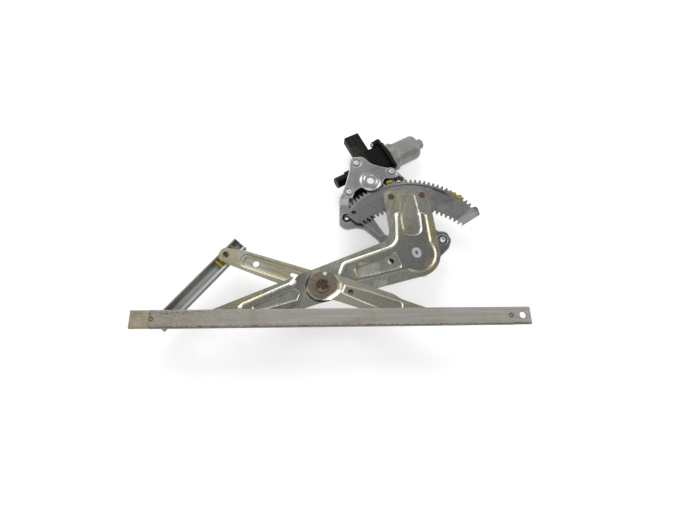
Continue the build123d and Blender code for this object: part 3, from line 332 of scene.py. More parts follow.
@dataclass
class PressedSheet:
    """A sheet metal piece: an outline with holes, and panels pressed forwards or back; sizes in millimetres."""

    name: str  # the piece's name
    node: str  # the frame node that it stands for
    body: Body  # the body that it rides on
    slot: Slot  # its material slot
    outline: Rounded  # its blank's edge
    holes: tuple[Capsule, ...]  # its holes
    front: float  # height of the sheet's unpressed front
    thickness: float  # the sheet's thickness
    presses: tuple[Press, ...]  # its panels
    floor: float = -1000.0  # lowest height of the back, where something lies flat behind the sheet
    origin: Pair = (0.0, 0.0)  # place of the piece's own plan frame
    turn: float = 0.0  # direction of that frame's X axis in degrees
    pale: tuple[Shape, ...] = ()  # shapes where a paler film shows
    painted_shadow: tuple[Shape, ...] = ()  # shapes where a painted shadow lies
    gilt: tuple[Shape, ...] = ()  # shapes where the film is yellow
    bright: tuple[Shape, ...] = ()  # shapes where painted highlights lie
    pitch: float = 1.0  # distance between the surface's points

    def height(self, points: np.ndarray) -> np.ndarray:
        """Front height over the plan: the sheet's level plus each panel's rise.

        Args:
            points: Plan points (n, 2).

        Returns:
            The heights.
        """
        z = np.full(len(points), self.front)
        for press in self.presses:
            z = press.apply(points, z, self.front)
        return z

    def slopes(self, points: np.ndarray, step: float = 0.25) -> np.ndarray:
        """Rise of the front per millimetre along the plan's own X and Y, from central differences.

        Args:
            points: Plan points (n, 2).
            step: Half the span of the differences.

        Returns:
            Two rises for each point.
        """
        across = self.height(points + [step, 0]) - self.height(points - [step, 0])
        along = self.height(points + [0, step]) - self.height(points - [0, step])
        return np.c_[across, along] / (2 * step)

    def within(self, points: np.ndarray, margin: float = 0.0) -> np.ndarray:
        """Whether each point lies in the sheet, farther than a margin from its edges.

        Args:
            points: Plan points (n, 2).
            margin: The least distance.

        Returns:
            A truth value for each point.
        """
        inside = self.outline.distance(points) < -margin
        for hole in self.holes:
            inside &= hole.distance(points) > margin
        return inside

    def rings(self) -> np.ndarray:
        """Points along each panel's slope: its edge, carried inwards in even steps.

        Points that the panel's other edges have come nearer to are left out, and one is kept of any that
        share a cell.

        Returns:
            The points (n, 2).
        """
        found = [np.empty((0, 2))]
        for press in self.presses:
            edge = press.shape.loop(self.pitch)
            out = press.shape.gradient(edge)
            for depth in np.linspace(0.0, press.slope, max(3, round(press.slope / RING_STEP)) + 1):
                points = edge - out * depth
                found.append(points[np.abs(press.shape.distance(points) + depth) < RING_ERROR])
        points = np.concatenate(found)
        return points[np.sort(np.unique(np.round(points / RING_CELL), axis=0, return_index=True)[1])]

    def spread(self, loops: list[np.ndarray]) -> np.ndarray:
        """All plan points: the loops, then the rings and a staggered grid, kept clear of every edge.

        Args:
            loops: The points of the outline and of each hole.

        Returns:
            The points (n, 2), which begin with the loops.
        """
        low, high = loops[0].min(0), loops[0].max(0)
        rows = np.arange(low[1], high[1], self.pitch * ROW_PITCH)
        x, y = np.meshgrid(np.arange(low[0], high[0], self.pitch), rows)
        x = x + (np.arange(len(rows)) % 2 * self.pitch / 2)[:, None]
        grid = np.c_[x.ravel(), y.ravel()]
        for press in self.presses:
            depth = -press.shape.distance(grid)
            grid = grid[(depth < -RING_GAP) | (depth > press.slope + RING_GAP)]
        grid = np.concatenate([self.rings(), grid])
        return np.concatenate(loops + [grid[self.within(grid, EDGE_GAP * self.pitch)]])

    def triangles(self, flat: np.ndarray, loops: list[np.ndarray]) -> np.ndarray:
        """Anticlockwise triangles between the plan points, with no side across a loop.

        Args:
            flat: All plan points.
            loops: The first of them, edge by edge.

        Returns:
            Three point numbers for each triangle.
        """
        sizes = [len(loop) for loop in loops]
        edges = np.split(np.arange(sum(sizes)), np.cumsum(sizes)[:-1])
        sides = np.concatenate([np.c_[edge, np.roll(edge, -1)] for edge in edges])
        result = delaunay_2d_cdt(flat.tolist(), sides.tolist(), [], 0, SAME_POINT)
        if len(result[0]) != len(flat):
            raise ValueError(f"{self.name}: the triangulation moved points")
        tris = np.array(result[2], int)
        tris = tris[self.within(flat[tris].mean(1))]
        a, b, c = flat[tris[:, 0]], flat[tris[:, 1]], flat[tris[:, 2]]
        area = (b[:, 0] - a[:, 0]) * (c[:, 1] - a[:, 1]) - (b[:, 1] - a[:, 1]) * (c[:, 0] - a[:, 0])
        return np.where((area > 0)[:, None], tris, tris[:, ::-1])

    def mesh(self) -> bpy.types.Mesh:
        """Front and back skins over the same triangles, closed by a wall along each loop.

        Returns:
            The mesh, with the finish's numbers and its own normals.
        """
        loops = [self.outline.loop(self.pitch)] + [hole.loop(self.pitch * HOLE_PITCH) for hole in self.holes]
        flat = self.spread(loops)
        tris = self.triangles(flat, loops)
        count, edged = len(flat), sum(len(loop) for loop in loops)
        top = self.height(flat)
        plan = flat @ spin(self.turn) + self.origin
        points = np.concatenate([np.c_[plan, top], np.c_[plan, np.maximum(top - self.thickness, self.floor)]])
        edge = directed_rims(tris, count)
        walls = np.c_[edge[:, 1], edge[:, 0], edge[:, 0] + count, edge[:, 1] + count]
        mesh = mesh_of(self.name, points, tris.tolist() + (tris[:, ::-1] + count).tolist() + walls.tolist())
        mesh.polygons.foreach_set("use_smooth", np.arange(len(mesh.polygons)) < 2 * len(tris))
        ends = np.empty(2 * len(mesh.edges), np.int32)
        mesh.edges.foreach_get("vertices", ends)
        mesh.edges.foreach_set("use_edge_sharp", (ends.reshape(-1, 2) % count < edged).all(1))
        slopes = self.slopes(flat) @ spin(self.turn)
        self.mark(mesh, flat, slopes)
        mesh.update()
        free = (top - self.thickness > self.floor)[:, None]
        front = normals(-slopes, 1.0)[tris].reshape(-1, 3)
        back = normals(slopes * free, -1.0)[tris[:, ::-1]].reshape(-1, 3)
        mesh.normals_split_custom_set(np.concatenate([front, back, np.zeros((4 * len(walls), 3))]).tolist())
        return mesh

    def mark(self, mesh: bpy.types.Mesh, flat: np.ndarray, slopes: np.ndarray) -> None:
        """Writes numbers at each point, for the finish.

        steep: 4 * share * (1 - share) of the steepest panel rim; facing: cosine between the slope's rise and the
        direction down to the right, by which the finish paints light and shade; raised: height over the unpressed
        sheet in millimetres, between 0 and 1; inward: share of the steepest panel rim; pale, grimy, gilt, bright:
        1 inside the shapes so called, where grimy holds a painted shadow and bright painted highlights.
        inward: share of the steepest panel rim; pale, grimy, gilt, bright: 1 inside the shapes so called.

        Args:
            mesh: The mesh, whose back repeats the front's points.
            flat: The front's points in plan.
            slopes: The front's rise at them, along the shared X and Y.
        """
        steep, inward = np.zeros(len(flat)), np.zeros(len(flat))
        for press in self.presses:
            share = press.share(flat)
            rim = 4.0 * share * (1.0 - share) * press.strength(flat)
            inward = np.where((rim > steep) | ((steep == 0) & (share > inward)), share, inward)
            steep = np.maximum(steep, rim)
            if press.flush:
                steep = np.where(share >= 1.0, 0.0, steep)
        marks = {
            "steep": steep, "inward": inward, "raised": np.clip(self.height(flat) - self.front, 0.0, 1.0),
            "facing": slopes @ [1, -1] / (math.sqrt(2) * np.maximum(np.hypot(*slopes.T), FLAT_SLOPE))}
        for label, width in BLURS.items():
            marks[label] = np.zeros(len(flat))
            for shape in getattr(self, label):
                marks[label] = np.maximum(marks[label], np.clip(0.5 - shape.distance(flat) / width, 0, 1))
        for label, values in marks.items():
            layer = mesh.attributes.new(label, "FLOAT", "POINT")
            layer.data.foreach_set("value", np.tile(values, 2).astype(np.float32))

    def build(self, finish: "Finish") -> bpy.types.Object:
        """Makes the piece, hangs it on its body and puts it in its node's place.

        Args:
            finish: The finish to dress it in.

        Returns:
            The new object.
        """
        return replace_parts(hang(self.mesh(), finish, self.body), self.node)


def spin(degrees: float) -> np.ndarray:
    """The matrix that turns points (n, 2) about the origin when they are multiplied by it."""
    c, s = math.cos(math.radians(degrees)), math.sin(math.radians(degrees))
    return np.array([[c, s], [-s, c]])


def normals(plan: np.ndarray, up: float) -> np.ndarray:
    """Unit normals (n, 3) from their plan part (n, 2) and their Z part."""
    whole = np.c_[plan, np.full(len(plan), up)]
    return whole / np.linalg.norm(whole, axis=1)[:, None]


def directed_rims(tris: np.ndarray, count: int) -> np.ndarray:
    """Sides of triangles over a count of points that have no opposite: the rims, in the triangles' own sense."""
    sides = np.concatenate([tris[:, [0, 1]], tris[:, [1, 2]], tris[:, [2, 0]]])
    return sides[~np.isin(sides @ [count, 1], sides @ [1, count])]


def mesh_of(name: str, points: np.ndarray, faces: list[list[int]]) -> bpy.types.Mesh:
    """A mesh from points (n, 3) in millimetres.

    Args:
        name: The mesh's name.
        points: The points.
        faces: Point numbers of each face.

    Returns:
        The new mesh.
    """
    mesh = bpy.data.meshes.new(name)
    mesh.from_pydata((points / 1000.0).tolist(), [], faces)
    return mesh


def placed(name: str, data: bpy.types.ID) -> bpy.types.Object:
    """A new object of the scene.

    Args:
        name: The object's name.
        data: Its mesh, lamp or camera.

    Returns:
        The object.
    """
    obj = bpy.data.objects.new(name, data)
    bpy.context.collection.objects.link(obj)
    return obj


def hang(mesh: bpy.types.Mesh, finish: "Finish", body: Body) -> bpy.types.Object:
    """Makes a piece of a mesh, dresses it and lets it ride on a body.

    Args:
        mesh: The piece's mesh, in its place.
        finish: Its finish.
        body: The body that carries it.

    Returns:
        The new object.
    """
    obj = placed(mesh.name, mesh)
    mesh.materials.append(finish.build())
    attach(obj, body.value)
    log.info("%s: %d faces, %s", obj.name, len(mesh.polygons), finish.name)
    return obj


# ---------------------------------------------------------------- finishes
def lit(colour: Colour, share: float) -> Colour:
    """A colour made lighter or darker by a share."""
    return tuple(min(1.0, share * c) for c in colour)


@dataclass(frozen=True)
class Value:
    """A node's output that can be reckoned with: each operation adds one node to its graph."""

    graph: "Graph"
    socket: bpy.types.NodeSocket

    def __add__(self, other: "Value | float") -> "Value":
        """Sum."""
        return self.graph.math("ADD", self, other)

    def __mul__(self, other: "Value | float") -> "Value":
        """Product."""
        return self.graph.math("MULTIPLY", self, other)

    def __sub__(self, other: "Value | float") -> "Value":
        """Difference."""
        return self.graph.math("SUBTRACT", self, other)

    def __rsub__(self, other: float) -> "Value":
        """Difference from a number."""
        return self.graph.math("SUBTRACT", other, self)

    def __abs__(self) -> "Value":
        """Size without the sign."""
        return self.graph.math("ABSOLUTE", self)

    __radd__, __rmul__ = __add__, __mul__

    def larger(self, other: "Value | float") -> "Value":
        """The larger of the two."""
        return self.graph.math("MAXIMUM", self, other)

    def clamped(self) -> "Value":
        """The same, kept between 0 and 1; only for what a calculation gave."""
        self.socket.node.use_clamp = True
        return self

    def step(self, low: float, high: float) -> "Value":
        """Smooth rise from 0 at low to 1 at high; low may be the larger."""
        rising = low < high
        return self.graph.add(
            "MapRange", {
                "Value": self, "From Min": min(low, high), "From Max": max(low, high),
                "To Min": float(not rising), "To Max": float(rising)},
            "Result", interpolation_type="SMOOTHSTEP")


Input = Value | float | Colour


class Graph:
    """A material's node graph, built by small calls that each return a value."""

    def __init__(self, name: str) -> None:
        """Makes an empty node material that ends in a principled shader.

        Args:
            name: The material's name.
        """
        self.material = bpy.data.materials.new(name)
        self.material.use_nodes = True
        self.nodes = self.material.node_tree.nodes
        self.shader = self.nodes["Principled BSDF"]
        self.plain = self.add("TexCoord", {}, "Object")

    def feed(self, socket: bpy.types.NodeSocket, value: Input) -> None:
        """Links a socket, or sets its constant.

        Args:
            socket: An input.
            value: What it gets.
        """
        if isinstance(value, Value):
            self.material.node_tree.links.new(value.socket, socket)
        elif socket.type == "RGBA":
            socket.default_value = (*value, 1.0)
        else:
            socket.default_value = value

    def add(self, kind: str, inputs: dict[int | str, Input], output: int | str = 0, **settings: object) -> Value:
        """One node.

        Args:
            kind: Its type.
            inputs: What its sockets are fed with.
            output: The socket that is wanted.
            **settings: Its other properties.

        Returns:
            That socket's value.
        """
        node = self.nodes.new("ShaderNode" + kind)
        for name, setting in settings.items():
            setattr(node, name, setting)
        for key, value in inputs.items():
            self.feed(node.inputs[key], value)
        return Value(self, node.outputs[output])

    def math(self, operation: str, a: Input, b: Input = 0.0) -> Value:
        """One Math node."""
        return self.add("Math", {0: a, 1: b}, operation=operation)

    def place(self, scale: Point = (1.0, 1.0, 1.0), turn: float = 0.0, shift: Point = (0.0, 0.0, 0.0)) -> Value:
        """Object coordinates in metres, shifted, turned about Z by degrees and scaled.

        Args:
            scale: Factors along the turned axes.
            turn: Angle about Z in degrees.
            shift: Point that becomes the pattern's centre.

        Returns:
            The vector.
        """
        moved = self.add("VectorMath", {0: self.plain, 1: shift}, operation="SUBTRACT")
        turned = self.add("VectorRotate", {"Vector": moved, "Angle": -math.radians(turn)}, rotation_type="Z_AXIS")
        return self.add("VectorMath", {0: turned, 1: scale}, operation="MULTIPLY")

    def reach(self, middle: Point = (0.0, 0.0, 0.0), scale: Point = (1.0, 1.0, 0.0), turn: float = 0.0) -> Value:
        """Length of the line from a middle, over axes that are turned and scaled."""
        return self.add("VectorMath", {0: self.place(scale, turn, middle)}, "Value", operation="LENGTH")

    def axes(self, vector: Value) -> list[Value]:
        """A vector's X, Y and Z."""
        node = self.add("SeparateXYZ", {0: vector}).socket.node
        return [Value(self, output) for output in node.outputs]

    def noise(
            self, scale: float, detail: float = 4.0, roughness: float = 0.55, over: Value | None = None) -> Value:
        """Fractal noise between 0 and 1, over the object coordinates if nothing else is given."""
        inputs = {"Vector": over or self.plain, "Scale": scale, "Detail": detail, "Roughness": roughness}
        return self.add("TexNoise", inputs, "Fac")

    def cells(self, scale: float) -> Value:
        """A random grey per Voronoi cell."""
        cells = self.add("TexVoronoi", {"Vector": self.plain, "Scale": scale}, "Color")
        return self.add("SeparateColor", {0: cells})

    def mix(self, share: Input, a: Input, b: Input) -> Value:
        """Colour a, or b where share is 1."""
        return self.add("Mix", {"Factor": share, 6: a, 7: b}, 2, data_type="RGBA")

    def scale(self, colour: Input, share: Input) -> Value:
        """A colour made lighter or darker by a share."""
        return self.add("VectorMath", {0: colour, "Scale": share}, operation="SCALE")

    def reading(self, label: str) -> Value:
        """A number that the mesh carries at each point."""
        return self.add("Attribute", {}, "Fac", attribute_name=label)

    def rounded_normal(self, radius: float) -> Value:
        """The surface's direction, with its edges rounded to a radius in metres."""
        return self.add("Bevel", {"Radius": radius}, samples=6)

    def bump(self, height: Input, distance: float, strength: float, rounding: float) -> None:
        """Surface relief on the shader's normal, over edges rounded to a radius in metres.

        Args:
            height: Relief between 0 and 1.
            distance: Height in metres that a relief of 1 stands for.
            strength: Share of the relief that shows.
            rounding: Radius to which sharp edges are shaded; 0 for none.
        """
        inputs = {"Strength": strength, "Distance": distance, "Height": height}
        if rounding > 0:
            inputs["Normal"] = self.rounded_normal(rounding)
        self.feed(self.shader.inputs["Normal"], self.add("Bump", inputs))

    def finish(self, colour: Input, roughness: Input, metallic: float) -> bpy.types.Material:
        """Sets the shader's three main sockets and returns the material.

        Args:
            colour: Base colour.
            roughness: Roughness.
            metallic: Metal share.

        Returns:
            The graph's material.
        """
        for label, value in (("Base Color", colour), ("Roughness", roughness), ("Metallic", metallic)):
            self.feed(self.shader.inputs[label], value)
        return self.material


@dataclass(frozen=True)
class Finish:
    """What a piece looks like."""

    name: str  # the material's name
    colour: Colour  # its clean colour

    def build(self) -> bpy.types.Material:
        """The finish as a node material."""
        raise NotImplementedError


@dataclass(frozen=True)
class Plating(Finish):
    """Plated or galvanised steel sheet: film, zinc crystals, drawn streaks, pits, stains and painted shade by
    slope.
    """

    tint: Colour  # colour where the passivation film is thick
    stain: Colour  # colour of dirt and rust bloom
    film: float = 0.5  # share of the surface under the thick film
    dirt: float = 0.14  # share under stains
    crystals: float = 0.09  # contrast of the zinc crystals
    roughness: float = 0.4  # gloss of the clean metal
    metallic: float = 0.85  # metal share of the shading
    rounding: float = 0.0  # radius of the sheet's edges in metres
    streaks: float = 0.1  # contrast of the drawing streaks
    heading: float = 0.0  # direction of the streaks in degrees about Z
    pits: float = 0.0  # share of the surface in dark pits
    relief: float = 0.5  # strength of the fine relief
    flat: float = 1.0  # share of the metal's brightness that the level parts keep; below 1, level parts and walls get painted shade and rounded edges stand out as painted highlights

    def paint(self, g: Graph, colour: Value) -> Value:
        """Further colouring of the clean metal; a plain sheet has none."""
        return colour

    def build(self) -> bpy.types.Material:
        """Layers the film, crystals, streaks, pits and stains by noise over object coordinates.

        Tone = 1 - c + 2c * crystal + 4s * (streak - 1/2), times painted shade on level parts and walls when flat
        is below 1; the metal's colour is scaled by it before the pits and stains cover it, and each of them also
        roughens the surface.

        Returns:
            The material.
        """
        g = Graph(self.name)
        film = g.noise(34.0, 6.0, 0.62).step(0.74 - self.film * 0.5, 0.84 - self.film * 0.5)
        streak = g.noise(1.0, 5.0, 0.6, g.place((14.0, 420.0, 420.0), self.heading))
        shade = 1.0 - self.crystals + g.cells(620.0) * (2.0 * self.crystals)
        shade = shade + (streak - 0.5) * (4.0 * self.streaks)
        coloured = self.paint(g, g.mix(film * 0.8, self.colour, self.tint))
        # painted light: level parts and steep walls are darkened by the rounded normal, so the edges read as
        # painted highlights
        if self.flat < 1.0:
            level = abs(g.axes(g.rounded_normal(2.2 * self.rounding))[2])
            flat = level.step(0.88, 0.985) * (1.0 - self.flat)
            painted_wall_shade = level.step(0.55, 0.3) * 0.8
            shade = shade * (1.0 - (flat + painted_wall_shade).clamped())
        pit = g.noise(520.0, 4.0, 0.7).step(0.70 - self.pits * 0.3, 0.76 - self.pits * 0.3)
        pit = pit * min(1.0, self.pits * 4.0)
        pitted = g.mix(pit, g.scale(coloured, shade), lit(self.stain, 0.35))
        blotch = g.noise(75.0, 9.0, 0.72).step(0.74 - self.dirt * 0.5, 0.86 - self.dirt * 0.4)
        rough = self.roughness + blotch.larger(pit) * 0.3
        rough = (rough + (streak - 0.5) * 0.25).clamped()
        g.bump(g.noise(900.0, 3.0) + streak * 0.8, 0.00012, self.relief, self.rounding)
        return g.finish(g.mix(blotch * 0.7, pitted, self.stain), rough, self.metallic)


@dataclass(frozen=True)
class Pressed(Plating):
    """Plated sheet whose pressed slopes carry painted light: painted highlights along the crests and painted shade
    by facing.
    """

    near: Colour = (0.2, 0.18, 0.1)  # painted light: colour of steep parts that face up to the left
    far: Colour = (0.3, 0.26, 0.12)  # painted light: colour of steep parts that face down to the right
    crest: Colour = (0.56, 0.555, 0.5)  # colour of the painted highlight along the crests
    inner: Colour = (0.2, 0.2, 0.19)  # colour of the raised fields
    pale: Colour = (0.42, 0.42, 0.36)  # colour of the paler patches
    gilded: Colour = (0.42, 0.37, 0.17)  # colour of the yellow film
    painted_shadow_colour: Colour = (0.018, 0.014, 0.01)  # colour of the painted shadow
    bare_and_highlight: Colour = (0.92, 0.92, 0.90)  # colour of the painted highlights

    def paint(self, g: Graph, colour: Value) -> Value:
        """Colours by the numbers that the piece carries.

        A painted highlight lies along the outer half of a slope and a painted shade band along its inner half;
        both are stronger where the slope faces up to the left, and each slope's colour is painted by the way it
        faces.

        Args:
            g: The material's graph.
            colour: The clean metal.

        Returns:
            The new colour.
        """
        steep, inward, gilt = g.reading("steep"), g.reading("inward"), g.reading("gilt")
        toward = g.reading("facing").step(-0.35, 0.5)
        # painted highlight along the outer half of each slope, stronger where it faces up to the left or lies in a
        # gilt shape
        worn_and_highlight = steep.step(0.04, 0.3) * inward.step(0.78, 0.5) * (0.45 + toward.larger(gilt * 0.7) * 0.5)
        broken = g.noise(90.0, 5.0, 0.6).step(0.25, 0.55)
        # painted shade: a darker band along the inner half of slopes that face up to the left
        deep = steep.step(0.1, 0.4) * inward.step(0.5, 0.8) * toward
        # painted light and shade: each slope takes the near or far colour by the way it faces
        slope = g.mix(gilt * 0.7, g.mix(toward, self.far, self.near), self.gilded)
        for share, cover in (
                (g.reading("raised") * 0.9, self.inner),
                (g.reading("pale") * 0.8, self.pale),
                (gilt * 0.45, self.gilded),
                (steep.step(0.25, 0.7) * 0.85, slope),
                (worn_and_highlight * (0.5 + broken * 0.5), g.mix(gilt * 0.5, self.crest, self.gilded)),
                (deep * 0.55, lit(self.near, 0.4)),
                # painted highlights: white glints in the bright shapes
                (g.reading("bright") * 0.85, self.bare_and_highlight),
                # painted shadow inside its shapes
                (g.reading("painted_shadow") * 0.9, self.painted_shadow_colour)):
            colour = g.mix(share, colour, cover)
        return colour


@dataclass(frozen=True)
class Toothed(Plating):
    """Satin steel of the toothed sector, with two rubbed arcs and darker tooth flanks."""

    arcs: Pair = (0.1130, 0.1108)  # radii in metres of the rubbed arcs
    arc_starts: tuple[Pair, Pair] = ((1.02, 1.12), (0.98, 1.08))  # directions in radians over which each sets in
    arc_ends: tuple[Pair, Pair] = ((2.5, 1.75), (1.3, 1.2))  # directions over which each fades
    arc_width: Pair = (0.0013, 0.0006)  # half widths of an arc, in all and at full strength
    arc_waver: float = 0.0016  # how far it wavers
    dull: Pair = (1.65, 2.1)  # directions over which the long end turns dull
    stop: Pair = (0.70, 0.66)  # directions over which the bright stop begins
    rim: Pair = (0.1137, 0.1143)  # radii over which the rim turns bright
    flanks: Pair = (0.1172, 0.1200)  # radii over which the tooth flanks turn dark
    rub: Colour = (0.02, 0.02, 0.02)  # colour in them

    def paint(self, g: Graph, colour: Value) -> Value:
        """Darkens thin arcs about the pivot, between two directions, and shades the head, stop, rim and teeth.

        Distance from the pivot = square root of x squared + y squared; direction = arc tangent of y over x.

        Args:
            g: The material's graph.
            colour: The clean metal.

        Returns:
            The new colour.
        """
        x, y, _ = g.axes(g.plain)
        reach = g.math("SQRT", x * x + y * y)
        bearing = g.math("ARCTAN2", y, x)
        ragged = reach + (g.noise(120.0) - 0.5) * self.arc_waver
        for radius, start, end in zip(self.arcs, self.arc_starts, self.arc_ends):
            line = abs(ragged - radius).step(*self.arc_width) * (bearing.step(*start) * bearing.step(*end))
            colour = g.mix(line * 0.85, colour, self.rub)
        for share, tone in (
                (bearing.step(*self.dull) * 0.75, 0.5), (bearing.step(*self.stop) * 0.7, 2.1),
                (reach.step(*self.rim) * 0.35, 1.35), (reach.step(*self.flanks) * 0.5, 0.45)):
            colour = g.mix(share, colour, lit(self.colour, tone))
        return colour


@dataclass(frozen=True)
class Weathered(Plating):
    """Long rolled section whose ends and lower lip carry rust bloom, with painted shade along its bottom edge."""

    start: float = -0.37  # X in metres where the bloom is strongest
    fade: float = -0.2  # X where it has faded out
    above: Pair = (0.013, 0.020)  # heights over the lower lip between which the bloom at the end grows
    lip: Pair = (0.004, 0.0008)  # heights between which the bloom along the lip grows
    edge: Pair = (0.0016, 0.0006)  # heights between which the painted shade along the bottom edge grows
    ring: Pair = (0.0036, 0.0030)  # distances from an eyelet between which its ring grows
    low: float = -0.1077  # Y of the lower lip, in metres
    bloom: Colour = (0.075, 0.05, 0.03)  # colour of the bloom
    olive: Colour = (0.33, 0.31, 0.235)  # colour of the film under it
    # places of the eyelets, which have a dirty ring round them
    eyelets: tuple[Point, ...] = ((-0.3543, -0.09584, 0.0), (0.1166, -0.09584, 0.0))

    def paint(self, g: Graph, colour: Value) -> Value:
        """Brown bloom in flecks towards one end and along the lower lip.

        Share = (end share + lip share) * fleck, where each share falls smoothly with distance; painted shade along
        the bottom edge is added in the bloom's colour.

        Args:
            g: The material's graph.
            colour: The clean metal.

        Returns:
            The new colour.
        """
        x, y, _ = g.axes(g.plain)
        near = x.step(self.fade, self.start)
        above, lip, edge = (
            y.step(self.low + start, self.low + end) for start, end in (self.above, self.lip, self.edge))
        end = near * (0.3 + above * 0.6)
        flecks = g.noise(1.0, 7.0, 0.75, g.place((190.0, 560.0, 200.0)))
        share = ((end + lip) * flecks.step(0.47, 0.58)).clamped()
        share = share.larger(flecks.step(0.64, 0.72) * 0.5)
        # painted shade along the bottom edge, in the bloom's colour
        share = share.larger(edge * 0.6)
        for eyelet in self.eyelets:
            share = share.larger(g.reach(eyelet).step(*self.ring))
        colour = g.mix(near * 0.7, colour, self.olive)
        worn_and_highlight = g.noise(1.0, 6.0, 0.65, g.place((9.0, 300.0, 130.0))).step(0.45, 0.65)
        colour = g.mix(worn_and_highlight * 0.4, colour, lit(self.colour, 1.35))
        return g.mix(share * 0.85, colour, self.bloom)


@dataclass(frozen=True)
class Channel(Plating):
    """Guide channel with a painted highlight on one lip, a browned lip on the other and painted shade on the outer
    walls.
    """

    foot: Point = (-0.2684, 0.0, 0.0)  # place of the channel's pin in metres
    heading_out: float = 229.4  # direction down the channel in degrees
    lip_from: Pair = (0.0035, 0.0048)  # heights between which the lips begin
    lip_side: Pair = (0.001, 0.002)  # distances from the middle between which each lip's colour grows
    web_middle: float = -0.0015  # where the web's bright stripe runs
    web_half: Pair = (0.003, 0.001)  # its half widths, in all and at full strength
    wall_middle: float = 0.0008  # middle between the outer walls
    wall_half: Pair = (0.01035, 0.0105)  # distances from it between which a wall's colour grows
    bright: Colour = (0.60, 0.60, 0.58)  # colour of the painted highlight on one lip, also given to the web's stripe
    browned: Colour = (0.24, 0.22, 0.15)  # colour of the other lip
    dark: Colour = (0.12, 0.115, 0.10)  # colour of the painted shade on the outer walls

    def paint(self, g: Graph, colour: Value) -> Value:
        """Tells the lips by their height and side, and the outer walls by their distance from the middle.

        Args:
            g: The material's graph.
            colour: The clean metal.

        Returns:
            The new colour.
        """
        _, across, height = g.axes(g.place(turn=self.heading_out, shift=self.foot))
        lip, (low, high) = height.step(*self.lip_from), self.lip_side
        # painted highlight on the lip on one side
        colour = g.mix(lip * across.step(low, high), colour, self.bright)
        colour = g.mix(lip * across.step(-low, -high), colour, self.browned)
        stripe = abs(across - self.web_middle).step(*self.web_half)
        colour = g.mix((1.0 - lip) * (stripe * 0.5), colour, self.bright)
        # painted shade on the outer walls
        painted_wall_shade = abs(across - self.wall_middle).step(*self.wall_half)
        return g.mix(painted_wall_shade * 0.8, colour, self.dark)


@dataclass(frozen=True)
class Rust(Finish):
    """Bare steel under a crust of rust, whose lighter brown is the clean colour."""

    deep: Colour  # darker rust
    metal: Colour  # bare metal
    bare_and_highlight: float  # share of bare metal
    clean_from: float = 10.0  # X in metres from which the metal is clean
    middle: Point = (0.0, 0.0, 0.0)  # middle of a round head in metres
    rim_radius: float = 0.0  # radius from which the head's rim is freshly rusted; 0 for none
    rim: Colour = (0.22, 0.13, 0.06)  # colour of that rim

    def build(self) -> bpy.types.Material:
        """Mixes two browns and bare metal by noise.

        Returns:
            The material.
        """
        g = Graph(self.name)
        crust = g.mix(g.noise(380.0, 6.0, 0.65).step(0.4, 0.62), self.colour, self.deep)
        clean = g.axes(g.plain)[0].step(self.clean_from, self.clean_from + 0.01)
        clean = g.noise(210.0).step(0.72 - self.bare_and_highlight * 0.5, 0.78 - self.bare_and_highlight * 0.4).larger(clean)
        colour = g.mix(clean, crust, self.metal)
        if self.rim_radius:
            rim = g.reach(self.middle).step(self.rim_radius - 0.0009, self.rim_radius + 0.0004)
            colour = g.mix(rim * 0.8, colour, self.rim)
        g.bump(g.noise(700.0, 6.0, 0.7), 0.0004, 0.8, 0.0005)
        return g.finish(colour, 0.72 - clean * 0.35, 0.35)


@dataclass(frozen=True)
class Moulding(Finish):
    """Moulded plastic or rubber with a fine grain and dust."""

    dust: Colour  # colour of the dust
    dusty: float  # share of the surface under dust
    roughness: float  # gloss of the clean plastic
    rounding: float = 0.0006  # radius of the edges in metres
    specular: float = 0.5  # strength of the surface reflection
    caked_dust_and_shade: Point = (0.0, 0.0, -1.0)  # middle of the dark patch in metres: caked dust on the gear housing, painted shade on the guide shoe
    caked_dust_and_shade_reach: float = 0.016  # how far it spreads

    def build(self) -> bpy.types.Material:
        """Adds dust by noise, a dark patch about one point, which is caked dust on the gear housing and painted
        shade on the guide shoe, and a fine spark-eroded grain.

        Returns:
            The material.
        """
        g = Graph(self.name)
        veil = g.noise(55.0, 7.0, 0.7).step(0.7 - self.dusty * 0.5, 0.95 - self.dusty * 0.5)
        near = g.reach(self.caked_dust_and_shade, (1.0, 1.0, 0.6)).step(self.caked_dust_and_shade_reach, 0.4 * self.caked_dust_and_shade_reach)
        near = near * g.noise(110.0, 7.0, 0.7).step(0.3, 0.6)
        g.bump(g.noise(2500.0, 2.0), 0.00005, 0.6, self.rounding)
        g.feed(g.shader.inputs["Specular IOR Level"], self.specular)
        rough = (self.roughness + veil.larger(near) * 0.25).clamped()
        return g.finish(g.mix((veil * 0.4).larger(near * 0.85), self.colour, self.dust), rough, 0.0)


@dataclass(frozen=True)
class Turned(Finish):
    """Clean turned, drawn or ground metal."""

    roughness: float  # gloss of the metal
    metallic: float  # metal share of the shading
    rounding: float = 0.0003  # radius of the edges in metres

    def build(self) -> bpy.types.Material:
        """Varies gloss and tone slightly by noise.

        Returns:
            The material.
        """
        g = Graph(self.name)
        tone = g.noise(300.0, 5.0)
        g.bump(g.noise(1500.0, 2.0), 0.00005, 0.4, self.rounding)
        colour = g.mix(tone * 0.35, self.colour, lit(self.colour, 0.6))
        return g.finish(colour, self.roughness + tone * 0.15, self.metallic)


